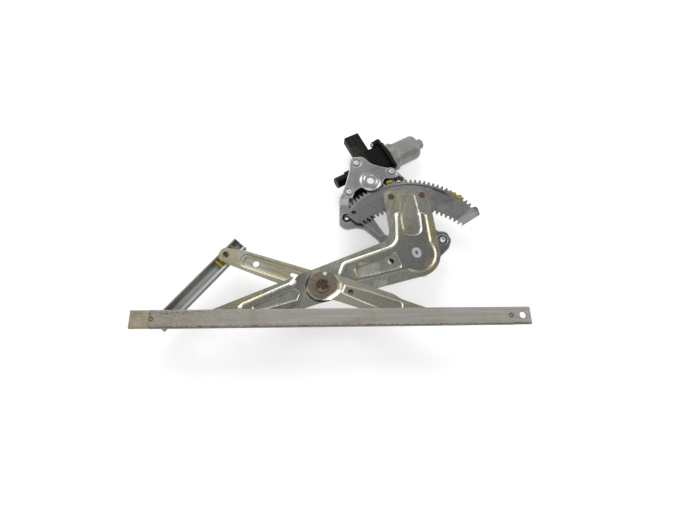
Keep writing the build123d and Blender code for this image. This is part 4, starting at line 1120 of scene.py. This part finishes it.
@dataclass(frozen=True)
class Dimpled(Turned):
    """Pale clinched washer, darker in the dimple in its middle, with painted shade along its edge."""

    dimple: Colour = (0.10, 0.085, 0.065)  # colour in the dimple, also used for the painted shade along the edge
    hole: float = 0.0023  # radius of the dimple in metres
    edge: float = 0.0070  # radius from which painted shade darkens the edge

    def build(self) -> bpy.types.Material:
        """Colours by the distance from the pivot's axis, stretched a little along Y for the dimple.

        Returns:
            The material.
        """
        g = Graph(self.name)
        reach = g.reach(scale=(1.25, 0.8, 0.0), turn=12.0)
        colour = g.mix(g.noise(260.0, 5.0) * 0.6, self.colour, lit(self.colour, 0.7))
        colour = g.mix(reach.step(self.hole + 0.0008, self.hole) * 0.85, colour, self.dimple)
        # painted shade along the washer's edge
        colour = g.mix(reach.step(self.edge, self.edge + 0.001) * 0.6, colour, self.dimple)
        g.bump(g.noise(900.0, 3.0), 0.0001, 0.4, self.rounding)
        return g.finish(colour, self.roughness, self.metallic)


@dataclass
class Dressing:
    """Assigns finishes to the frame's own nodes."""

    finishes: dict[str, Finish]  # the finish of each node

    def dress(self) -> None:
        """Gives every frame node its finish, and reports each one."""
        made: dict[str, bpy.types.Material] = {}
        for node, finish in self.finishes.items():
            if finish.name not in made:
                made[finish.name] = finish.build()
            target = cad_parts[node]
            target.data.materials.clear()
            target.data.materials.append(made[finish.name])
            log.info("%s: %s", node, finish.name)
        log.info("nodes without a finish: %s", sorted(set(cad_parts) - set(self.finishes)))


# flat below 1 paints shade on the plate's level parts and walls
GALVANISED = Plating(
    "galvanised", (0.58, 0.59, 0.60), (0.48, 0.485, 0.49), (0.14, 0.11, 0.07), crystals=0.05, roughness=0.36,
    rounding=0.0014, streaks=0.05, heading=60.0, pits=0.05, relief=0.12, flat=0.28)
LIFT_ZINC = Pressed(
    "lift_zinc", (0.29, 0.29, 0.25), (0.24, 0.24, 0.19), (0.11, 0.09, 0.05), dirt=0.15, crystals=0.14,
    roughness=0.3, metallic=0.9, streaks=0.07, heading=72.0, pits=0.08, relief=0.3, near=(0.21, 0.19, 0.13),
    far=(0.24, 0.22, 0.14), crest=(0.62, 0.62, 0.575), inner=(0.205, 0.205, 0.19))
SECTOR = Toothed(
    "sector_satin", (0.215, 0.215, 0.21), (0.165, 0.165, 0.158), (0.10, 0.085, 0.065), film=0.45, dirt=0.16,
    rounding=0.0005, streaks=0.16, heading=25.0, pits=0.22)
CHROMATE = Pressed(
    "chromate", (0.34, 0.33, 0.265), (0.31, 0.285, 0.185), (0.16, 0.12, 0.055), film=0.55, dirt=0.12,
    roughness=0.3, metallic=0.9, streaks=0.09, heading=-19.65, pits=0.07, relief=0.3, near=(0.36, 0.33, 0.22),
    far=(0.30, 0.27, 0.17), crest=(0.50, 0.47, 0.36), inner=(0.30, 0.295, 0.25))
RAIL_ARM = Pressed(
    "chromate_facets", (0.35, 0.34, 0.275), (0.32, 0.295, 0.2), (0.16, 0.12, 0.055), dirt=0.12, roughness=0.32,
    streaks=0.09, heading=-19.65, pits=0.07, relief=0.3, near=(0.52, 0.46, 0.34), far=(0.50, 0.42, 0.31),
    crest=(0.66, 0.60, 0.48), inner=(0.28, 0.275, 0.235), pale=(0.145, 0.132, 0.10))
RAIL = Weathered(
    "rail_zinc", (0.345, 0.33, 0.30), (0.30, 0.28, 0.235), (0.12, 0.085, 0.055), film=0.45, dirt=0.08,
    crystals=0.03, roughness=0.48, metallic=0.5, rounding=0.0009, pits=0.05)
BRACKET = Plating(
    "bracket_zinc", (0.37, 0.33, 0.225), (0.31, 0.265, 0.16), (0.15, 0.10, 0.06), dirt=0.42, crystals=0.03,
    roughness=0.5, metallic=0.5, rounding=0.0012, streaks=0.12, pits=0.25)
GUIDE = Channel(
    "guide_steel", (0.30, 0.325, 0.315), (0.25, 0.262, 0.245), (0.13, 0.105, 0.07), film=0.45, crystals=0.03,
    roughness=0.42, metallic=0.35, rounding=0.0011, streaks=0.30, heading=49.4, pits=0.10, relief=0.3)
CAN = Plating(
    "can_zinc", (0.28, 0.283, 0.262), (0.23, 0.232, 0.21), (0.14, 0.12, 0.08), dirt=0.06, crystals=0.08,
    metallic=0.6, rounding=0.0012, streaks=0.05, heading=28.4, pits=0.05)
FASTENER = Turned("fastener_zinc", (0.62, 0.62, 0.60), roughness=0.35, metallic=0.85)
RUSTY = Rust("rusty_steel", (0.15, 0.07, 0.035), (0.06, 0.03, 0.02), (0.3, 0.28, 0.25), bare_and_highlight=0.12)
NUTS = Rust(
    "weld_nut_steel", (0.10, 0.07, 0.045), (0.05, 0.035, 0.025), (0.55, 0.55, 0.53), bare_and_highlight=0.3, clean_from=0.0)
STUD_RUST = Rust(
    "stud_rust", (0.085, 0.055, 0.04), (0.03, 0.022, 0.018), (0.34, 0.30, 0.28), bare_and_highlight=0.34,
    middle=(-0.1342, -0.0479, 0.0), rim_radius=0.0088)
PIN_RUST = Rust("pin_rust", (0.075, 0.05, 0.033), (0.03, 0.023, 0.018), (0.22, 0.19, 0.12), bare_and_highlight=0.3)
BLACK = Moulding(
    "black_moulding", (0.004, 0.004, 0.0044), (0.05, 0.041, 0.027), dusty=0.35, roughness=0.45, rounding=0.0007,
    specular=0.16, caked_dust_and_shade=(-0.080, 0.176, 0.0))
WHITE = Moulding("white_nylon", (0.85, 0.85, 0.83), (0.6, 0.55, 0.45), dusty=0.1, roughness=0.4)
OCHRE = Moulding("ochre_nylon", (0.34, 0.245, 0.035), (0.2, 0.16, 0.08), dusty=0.2, roughness=0.35)
# the guide shoe's dark patch is painted shade at its upper end, where it runs into the channel
SHOE = Moulding(
    "shoe_nylon", (0.34, 0.245, 0.035), (0.05, 0.05, 0.045), dusty=0.0, roughness=0.35, rounding=0.0007,
    specular=0.4, caked_dust_and_shade=(-0.2574, 0.0129, 0.0), caked_dust_and_shade_reach=0.0085)
ACETAL = Moulding("acetal", (0.7, 0.68, 0.6), (0.5, 0.45, 0.35), dusty=0.1, roughness=0.4)
RUBBER = Moulding("rubber", (0.02, 0.02, 0.02), (0.1, 0.1, 0.1), dusty=0.1, roughness=0.7)
BOARD = Moulding("brush_board", (0.12, 0.07, 0.03), (0.1, 0.08, 0.05), dusty=0.1, roughness=0.55)
FERRITE = Moulding("ferrite", (0.05, 0.05, 0.055), (0.1, 0.1, 0.1), dusty=0.1, roughness=0.6)
GROUND = Turned("ground_steel", (0.58, 0.59, 0.6), roughness=0.25, metallic=0.95)
COPPER = Turned("copper", (0.65, 0.3, 0.14), roughness=0.3, metallic=0.95)
BRONZE = Turned("bronze", (0.5, 0.33, 0.14), roughness=0.45, metallic=0.8)
TIN = Turned("tin", (0.7, 0.69, 0.65), roughness=0.25, metallic=0.95)
AMBER = Moulding(
    "amber_grease", (0.40, 0.265, 0.012), (0.30, 0.18, 0.03), dusty=0.2, roughness=0.28, rounding=0.0003)
EYELET = Turned("eyelet_steel", (0.42, 0.43, 0.43), roughness=0.35, metallic=0.7)
GASKET = Moulding(
    "gasket_brass", (0.42, 0.30, 0.14), (0.16, 0.12, 0.07), dusty=0.3, roughness=0.45, rounding=0.0003)
WASHER = Dimpled("pale_washer", (0.50, 0.50, 0.53), roughness=0.5, metallic=0.35)


# ---------------------------------------------------------------- the arms
CENTRE_STUD: Pair = (-134.20, -47.92)


@dataclass
class LiftArm:
    """Stamped lift arm: gear head, hub and the arm out to its slider pin; sizes in millimetres."""

    front: float = 13.0  # height of the unpressed front
    sheet: float = 2.2  # sheet thickness
    emboss: float = 1.45  # height of the pressed fields
    slope: float = 5.6  # width of the hub field's sloped rim
    tongue_depth: float = 0.35  # how far the tongue lies below the unpressed front
    slider_pin: Pair = (-268.40, -95.84)  # place of the pin at the arm's end
    rivets: tuple[Pair, Pair] = ((16.783, 94.217), (-29.890, 90.912))  # places of the sector's rivets

    def hub_field(self) -> Shape:
        """Raised field round the pivot and some way out along the arm."""
        return Joined(rounded(
            (21.5, 65.0, 5), (-26.5, 65.5, 5), (-28.6, 14.6, 20), (-107, -13.6, 10), (-113.6, -32, 8),
            (-103.4, -48.8, 7), (-12, -26.3, 6), (24.6, 17.8, 10)), disc(0, 0, 30.0))

    def presses(self) -> tuple[Press, ...]:
        """The arm's fields, its tongue and its sunk pockets.

        Returns:
            The panels, in the order in which they are pressed.
        """
        tongue = rounded(
            (-17, 96.0, 3), (6.0, 96.0, 3), (11.6, 62, 30), (12.6, 27.0, 13.5), (-17.6, 26.0, 14), (-19.6, 62, 30))
        outer = rounded(
            (-248.2, -76.3, 4), (-243.2, -71.4, 3), (-179, -42.5, 6), (-165.5, -24, 6), (-140, -24, 6),
            (-140, -80, 8), (-160, -78, 8), (-214, -91.3, 20), (-250.8, -93.6, 5))
        hub_pocket = rounded((-91.4, -23.3, 5), (-86.2, -37.6, 4), (-20.4, -22.3, 5), (-30.4, 3.2, 5))
        far_pocket = rounded(
            (-228.6, -75.6, 3), (-172.5, -50.8, 6), (-164.2, -57.5, 4), (-168.3, -68.6, 5), (-213, -81.2, 20),
            (-228.6, -85.1, 3))
        return (
            Press(self.hub_field(), self.emboss, self.slope),
            Press(tongue, -self.tongue_depth, 4.4, flush=True),
            Press(outer, self.emboss, 4.2, fade=((-173, -52), (-159, -55))),
            Press(hub_pocket, -self.emboss, 2.8),
            Press(far_pocket, -self.emboss, 2.6))

    def piece(self) -> PressedSheet:
        """The whole arm as one pressed sheet.

        Returns:
            The sheet.
        """
        outline = rounded(
            (24.6, 104.9, 7), (-41.6, 100.2, 8), (-41.2, 86, 20), (-34.9, 22.4, 24), (-285, -81.2, 9),
            (-289.5, -103.6, 9), (-222, -101.5, 40), (-142, -73.5, 80), (36.9, -26.2, 34.8), (30.4, 56, 60))
        holes = (
            disc(0, 0, 6.05), disc(*CENTRE_STUD, 7.05), disc(-37.3, -12.4, 4.4), disc(*self.slider_pin, 4.0),
            disc(*self.rivets[0], 4.0), disc(*self.rivets[1], 4.0))
        pale = (
            rounded((-82.7, -14.7, 1), (-53.1, -14.8, 1), (-54.2, -34.2, 1), (-83.5, -34.0, 1)),
            rounded((-62.9, -40, 1), (-43.4, -40.1, 1), (-44, -50.3, 1), (-63.5, -50.2, 1)))
        gilt = (
            Capsule((25, 58), (27, 14), 7.0), disc(20, -17, 9.0), Capsule((-18.5, 93), (-17.5, 32), 3.5),
            Capsule((-91, -24), (-87, -36), 4.0), Capsule((-286, -88), (-222, -59.5), 6.0), disc(-229, -80, 2.5))
        # the bright discs are painted highlights: white glints at the bead corners
        bright = (
            disc(-25, 60.5, 2.2), disc(11.5, 63.4, 1.6), disc(17.6, 60.2, 1.6), disc(-244.0, -77.0, 2.8),
            Capsule((-176.5, -44.6), (-173.0, -42.6), 2.8))
        return PressedSheet(
            "lift_arm_sheet", "lift_arm", Body.LIFT, Slot.LIFT, outline, holes, self.front, self.sheet,
            # the disc paints a shadow into the gap round the rail arm's head
            self.presses(), floor=self.front - self.sheet, pale=pale, painted_shadow=(disc(-135.3, -48.9, 22.4),),
            gilt=gilt, bright=bright)


@dataclass
class Equalizer:
    """The two halves of the crossing arm, clamped by the centre stud; sizes in millimetres."""

    slope: float = 19.65  # how far the lift arm points below the horizontal, in degrees
    sheet: float = 2.0  # sheet thickness
    guide_front: float = 10.3  # front of the half behind the lift arm
    guide_sink: float = 1.1  # depth of its sunk panel
    guide_step: float = 0.3  # depth of the ledge round it
    rail_front: float = 17.7  # front of the half before the lift arm
    rail_back: float = 13.5  # lowest back of that half, on the lift arm
    joggle: float = 2.2  # how much lower its head lies
    rim: float = 4.6  # how far the head's facets run on past its corners
    panel: float = 1.0  # height of its raised panel

    def guide_half(self) -> PressedSheet:
        """The half out to the guide shoe, with its long sunk panel.

        Returns:
            The sheet.
        """
        outline = rounded(
            (-22, -19, 17), (118, -14.4, 30), (152.4, -8.6, 9), (151.8, 10.4, 9), (128, 12.6, 30), (-20, 18.5, 17))
        ledge = rounded((24.6, -12.4, 8), (121.4, -11.4, 9.6), (121.4, 9.4, 9.6), (24.6, 9.6, 8))
        pocket = rounded((28.4, -10.2, 6), (116.6, -9.2, 7.6), (116.6, 7.4, 7.6), (28.4, 7.4, 6))
        holes = (disc(98, -1, 4.3), Capsule((39, -2.6), (45, -2.6), 3.1), disc(142.5, 0, 4.6), disc(0, 0, 6.0))
        return PressedSheet(
            "guide_arm_sheet", "guide_arm", Body.EQUALIZER, Slot.ARM, outline, holes, self.guide_front, self.sheet,
            (Press(ledge, -self.guide_step, 1.4), Press(pocket, self.guide_step - self.guide_sink, 2.6)),
            origin=CENTRE_STUD, turn=180.0 - self.slope)

    def rail_half(self) -> PressedSheet:
        """The half out to the rail shoe: a faceted dish round the stud, and a raised panel.

        Returns:
            The sheet.
        """
        outline = rounded(
            (-18, 18.6, 3), (-20.4, 3, 6), (-19.4, -14.5, 3), (-10.5, -20, 4), (-3.4, -22.6, 4), (8, -19.8, 6),
            (20, -15, 20), (120, -13.4, 25), (152, -3, 8), (151.5, 15.6, 8), (108, 16, 25), (96, 19.4, 25),
            (2, 20.2, 10))
        rim = self.rim
        dish = Faceted((
            (-24 - rim, -26 - rim), (2.8 + rim, -26 - rim), (19.6 + rim, -6.5), (22.6 + rim, 0.4),
            (19.8 + rim, 8.3 + rim), (-1 + rim, 25 + rim), (-24 - rim, 25 + rim)))
        raised = rounded(
            (27.4, -3.8, 1), (62, -6.9, 60), (115.3, -8.7, 7), (112.3, 12.9, 7), (60, 12.5, 60), (27.8, 10.1, 1))
        holes = (disc(39.1, 2.5, 3.6), disc(142.5, 0, 4.0), disc(0, 0, 6.0))
        return PressedSheet(
            "rail_arm_sheet", "rail_arm", Body.EQUALIZER, Slot.ARM, outline, holes, self.rail_front, self.sheet,
            (Press(dish, -self.joggle, rim + 1.6, True), Press(raised, self.panel, 3.0)), floor=self.rail_back,
            # the bright disc is a painted highlight at the head's top corner
            origin=CENTRE_STUD, turn=-self.slope, pale=(disc(0, 0, 20.0),), bright=(disc(-2.6, 17.4, 2.4),))


# ---------------------------------------------------------------- grease and gasket
def tidy(mesh: bpy.types.Mesh) -> None:
    """Merges doubled points, turns all faces outwards and shades all but the flat ends smoothly.

    Args:
        mesh: The mesh, which is changed.
    """
    work = bmesh.new()
    work.from_mesh(mesh)
    bmesh.ops.remove_doubles(work, verts=work.verts, dist=MERGED)
    bmesh.ops.recalc_face_normals(work, faces=work.faces)
    work.to_mesh(mesh)
    work.free()
    mesh.polygons.foreach_set("use_smooth", np.array([len(p.vertices) < 5 for p in mesh.polygons]))


@dataclass
class Grease:
    """Lumps of amber grease on the sector's teeth; sizes in millimetres."""

    # place (x, y, z) and half sizes along, across and up of each lump, and its direction in degrees
    lumps: tuple[tuple[float, ...], ...] = (
        (-31.5, 117.4, 11.2, 4.6, 2.4, 1.5, 22.0), (-28.6, 118.6, 11.0, 2.2, 1.8, 1.2, 60.0),
        (57.6, 103.0, 10.9, 1.9, 1.6, 1.0, -35.0), (64.8, 98.8, 11.0, 3.3, 2.2, 1.3, -32.0),
        (68.4, 96.6, 10.9, 2.9, 2.0, 1.2, -40.0), (71.8, 93.4, 11.0, 3.6, 2.2, 1.4, -38.0),
        (75.4, 90.8, 11.0, 3.0, 2.6, 1.4, -20.0), (76.8, 94.0, 10.8, 1.6, 2.4, 1.1, 40.0))
    waves: Pair = (0.16, 0.1)  # heights of the two waves over a lump, as shares of its radius
    around: int = 28  # steps round each lump
    up: int = 16  # steps from pole to pole

    def build(self, finish: Finish) -> bpy.types.Object:
        """Makes all the lumps as one piece that rides on the lift arm.

        A lump is an ellipsoid whose radius varies by 1 + a sin(3 turn + k) sin(2 rise) + b sin(5 turn - 2k)
        cos(rise), with a and b the waves and k the lump's number, and whose underside is flattened to a third.

        Args:
            finish: The finish to dress them in.

        Returns:
            The new object.
        """
        turn, rise = np.meshgrid(
            np.linspace(0, 2 * np.pi, self.around, endpoint=False), np.linspace(-np.pi / 2, np.pi / 2, self.up))
        row, col = np.meshgrid(np.arange(self.up - 1), np.arange(self.around), indexing="ij")
        a, b = (row * self.around + col).ravel(), (row * self.around + (col + 1) % self.around).ravel()
        quads = np.c_[a, b, b + self.around, a + self.around]
        points = []
        for k, (x, y, z, along, across, height, heading) in enumerate(self.lumps):
            swell = 1 + self.waves[0] * np.sin(3 * turn + k) * np.sin(2 * rise)
            swell += self.waves[1] * np.sin(5 * turn - 2 * k) * np.cos(rise)
            side = swell * np.cos(rise)
            plan = np.stack([along * side * np.cos(turn), across * side * np.sin(turn)], -1) @ spin(heading)
            lift = height * swell * np.sin(rise)
            lump = np.dstack([plan + (x, y), z + np.where(lift < 0, lift / 3, lift)])
            points.append(lump.reshape(-1, 3))
        faces = [quads + k * turn.size for k in range(len(self.lumps))]
        mesh = mesh_of("tooth_grease", np.concatenate(points), np.concatenate(faces).tolist())
        tidy(mesh)
        return hang(mesh, finish, Body.LIFT)


@dataclass
class Gasket:
    """Thin brass-coloured gasket between the motor's flange and its can; sizes in millimetres."""

    foot: Pair = (-75.1, 144.82)  # foot of the perpendicular from the output axis on the worm's axis
    depth: float = -8.7  # height of the worm's axis
    heading: float = 28.4  # direction of the worm's axis in degrees
    at: float = 54.5  # distance of the gasket along the axis
    thickness: float = 1.3  # its thickness
    half: Pair = (18.0, 24.0)  # half sizes of the flat-sided plate, up and across
    corner: float = 6.0  # radius of the plate's corners
    ear: float = 30.0  # distance of the screw ears from the axis
    ear_radius: float = 5.2  # their radius
    tilt: float = 19.0  # turn of the ears' line in degrees
    grow: float = 0.8  # how far the gasket stands out beyond the flange
    halvings: int = 24  # steps of the search for the edge
    reach: float = 60.0  # a distance from the axis that lies outside in every direction
    rays: int = 360  # number of points round the edge

    def edge(self) -> np.ndarray:
        """The plate's edge (n, 2), found along rays from the axis.

        Along each ray the distance to the joined shape changes sign once, and halving the span finds where.

        Returns:
            The points, one for each ray.
        """
        (up, wide), r = self.half, self.corner
        ear = np.array([-math.sin(math.radians(self.tilt)), math.cos(math.radians(self.tilt))]) * self.ear
        plate = rounded((-up, -wide, r), (up, -wide, r), (up, wide, r), (-up, wide, r))
        shape = Joined(plate, Capsule(tuple(ear), tuple(-ear), self.ear_radius))
        turn = np.linspace(0, 2 * np.pi, self.rays, endpoint=False)
        ray = np.c_[np.cos(turn), np.sin(turn)]
        low, high = np.zeros(self.rays), np.full(self.rays, self.reach)
        for _ in range(self.halvings):
            middle = (low + high) / 2
            inside = shape.distance(ray * middle[:, None]) < self.grow
            low, high = np.where(inside, middle, low), np.where(inside, high, middle)
        return ray * low[:, None]

    def build(self, finish: Finish) -> bpy.types.Object:
        """Makes the plate as two skins and the wall between them.

        Args:
            finish: The finish to dress it in.

        Returns:
            The new object.
        """
        edge = self.edge()
        shells = []
        for x in (self.at - self.thickness / 2, self.at + self.thickness / 2):
            plan = np.c_[np.full(self.rays, x), edge[:, 1]] @ spin(self.heading) + self.foot
            shells.append(np.c_[plan, self.depth - edge[:, 0]])
        index = np.arange(self.rays)
        after = np.roll(index, -1)
        walls = np.c_[index, after, after + self.rays, index + self.rays].tolist()
        ends = [index[::-1].tolist(), (index + self.rays).tolist()]
        mesh = mesh_of("flange_gasket", np.concatenate(shells), walls + ends)
        tidy(mesh)
        return hang(mesh, finish, Body.BASE)


# ---------------------------------------------------------------- the studio
def aimed(right: np.ndarray, up: np.ndarray, back: np.ndarray, at: Point) -> Matrix:
    """A placement from three axes and a position."""
    return Matrix(np.r_[np.c_[right, up, back, at], [[0.0, 0.0, 0.0, 1.0]]].tolist())


@dataclass(frozen=True)
class Lamp:
    """A soft rectangular lamp."""

    name: str  # the lamp's name
    at: Point  # its position in metres
    size: Pair  # its sides in metres
    power: float  # its power in watts

    def build(self, aim: Point) -> None:
        """Hangs the lamp so that it faces a point.

        Args:
            aim: The point, in metres.
        """
        data = bpy.data.lights.new(self.name, "AREA")
        data.shape = "RECTANGLE"
        data.size, data.size_y = self.size
        data.energy = self.power
        away = np.subtract(self.at, aim)
        away /= np.linalg.norm(away)
        side = np.cross([0.0, 1.0, 0.0], away)
        side /= np.linalg.norm(side)
        placed(self.name, data).matrix_world = aimed(side, np.cross(away, side), away, self.at)


@dataclass
class Studio:
    """Floor, lamps, world and camera; lengths in metres."""

    floor_height: float = -0.0345  # height of the floor
    floor_half: float = 4.0  # half its side
    camera_at: Point = (-0.154298, -0.255637, 0.640594)  # camera position
    right: Point = (0.998101, -0.025616, 0.056016)  # camera's right direction
    up: Point = (0.002543, 0.925780, 0.378053)  # camera's up direction
    back: Point = (-0.061543, -0.377193, 0.924088)  # direction from the scene to the camera
    lens: float = 25.692  # focal length in millimetres
    sensor: float = 36.0  # width of the picture plane in millimetres
    aim: Point = (-0.12, 0.05, 0.0)  # the point that the lamps face
    # the lamps
    lamps: tuple[Lamp, ...] = (
        Lamp("key", (-0.65, 1.1, 1.1), (1.7, 0.8), 15.0), Lamp("side", (1.2, 0.35, 0.85), (0.5, 1.1), 7.0),
        Lamp("fill", (-0.4, -0.9, 1.5), (1.2, 0.8), 4.0))
    glow: float = 0.45  # strength of the floor's own light, to the camera and in reflections
    sky: Pair = (0.4, 1.0)  # strength of the world's light, on the object and to the camera

    def floor(self) -> None:
        """Lays the floor: white to the camera and to reflections, with the object's shadow kept."""
        plan = np.array([[-1, -1], [1, -1], [1, 1], [-1, 1]]) * self.floor_half
        corners = np.c_[plan, np.full(4, self.floor_height)] * 1000.0
        mesh = mesh_of("floor", corners, [[0, 1, 2, 3]])
        obj = placed("floor", mesh)
        g = Graph("floor_paint")
        rays = [g.add("LightPath", {}, f"Is {kind} Ray") for kind in ("Camera", "Glossy", "Transmission")]
        shown = rays[0].larger(rays[1]).larger(rays[2])
        g.feed(g.shader.inputs["Emission Color"], (1.0, 1.0, 1.0))
        g.feed(g.shader.inputs["Emission Strength"], shown * self.glow)
        mesh.materials.append(g.finish((0.8, 0.8, 0.8), 0.9, 0.0))

    def world(self) -> None:
        """Surrounds the scene with even light, white where the camera looks past the floor."""
        world = bpy.data.worlds.new("studio")
        bpy.context.scene.world = world
        world.use_nodes = True
        nodes, links = world.node_tree.nodes, world.node_tree.links
        back, shown = nodes["Background"], nodes.new("ShaderNodeMapRange")
        back.inputs["Color"].default_value = (1.0, 1.0, 1.0, 1.0)
        shown.inputs["To Min"].default_value, shown.inputs["To Max"].default_value = self.sky
        links.new(nodes.new("ShaderNodeLightPath").outputs["Is Camera Ray"], shown.inputs["Value"])
        links.new(shown.outputs[0], back.inputs["Strength"])

    def camera(self) -> None:
        """Looks at the object from above and in front."""
        data = bpy.data.cameras.new("camera")
        data.lens, data.sensor_width = self.lens, self.sensor
        data.clip_start, data.clip_end = 0.01, 20.0
        bpy.context.scene.camera = placed("camera", data)
        bpy.context.scene.camera.matrix_world = aimed(self.right, self.up, self.back, self.camera_at)

    def build(self) -> None:
        """Sets up floor, lamps, world and camera."""
        self.floor()
        for lamp in self.lamps:
            lamp.build(self.aim)
        self.world()
        bpy.context.scene.view_settings.view_transform = "Standard"
        self.camera()


def main() -> None:
    """Dresses the frame and sets the studio up."""
    logging.basicConfig(level=logging.INFO, format="%(message)s")
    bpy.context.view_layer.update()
    Dressing({
        "base_plate": GALVANISED, "weld_nuts": NUTS, "pivot_stud": WASHER, "pivot_spacer": FASTENER,
        "pivot_washer": WASHER, "motor_screws": FASTENER, "gear_housing": BLACK, "gear_cover": CAN,
        "connector_pins": TIN, "motor_can": CAN, "field_magnets": FERRITE, "brush_card": BOARD,
        "armature_stack": GROUND, "armature_windings": COPPER, "commutator": COPPER, "worm_shaft": GROUND,
        "rear_bearing": BRONZE, "front_bearing": BRONZE, "thrust_plug": WHITE, "output_bush": BRONZE,
        "can_screws": FASTENER, "pinion": GROUND, "shaft_cap": WHITE, "worm_wheel": ACETAL,
        "drive_damper": RUBBER, "lift_arm": LIFT_ZINC, "sector_gear": SECTOR, "sector_rivets": RUSTY,
        "lift_slider_pin": FASTENER, "guide_arm": CHROMATE, "rail_arm": CHROMATE, "centre_stud": STUD_RUST,
        "friction_washers": OCHRE, "guide_pin": PIN_RUST, "rail_slider_pin": FASTENER, "rail_shoe_left": WHITE,
        "rail_shoe_right": WHITE, "guide_shoe": SHOE, "glass_rail": RAIL, "rail_end_left": BRACKET,
        "rail_end_right": RAIL, "rail_rivets": EYELET, "guide_channel": GUIDE, "guide_brackets": GUIDE,
        "guide_nuts": RUSTY,
    }).dress()
    equalizer = Equalizer()
    LiftArm().piece().build(LIFT_ZINC)
    equalizer.guide_half().build(CHROMATE)
    equalizer.rail_half().build(RAIL_ARM)
    Grease().build(AMBER)
    Gasket().build(GASKET)
    Studio().build()


if __name__ == "__main__":
    main()
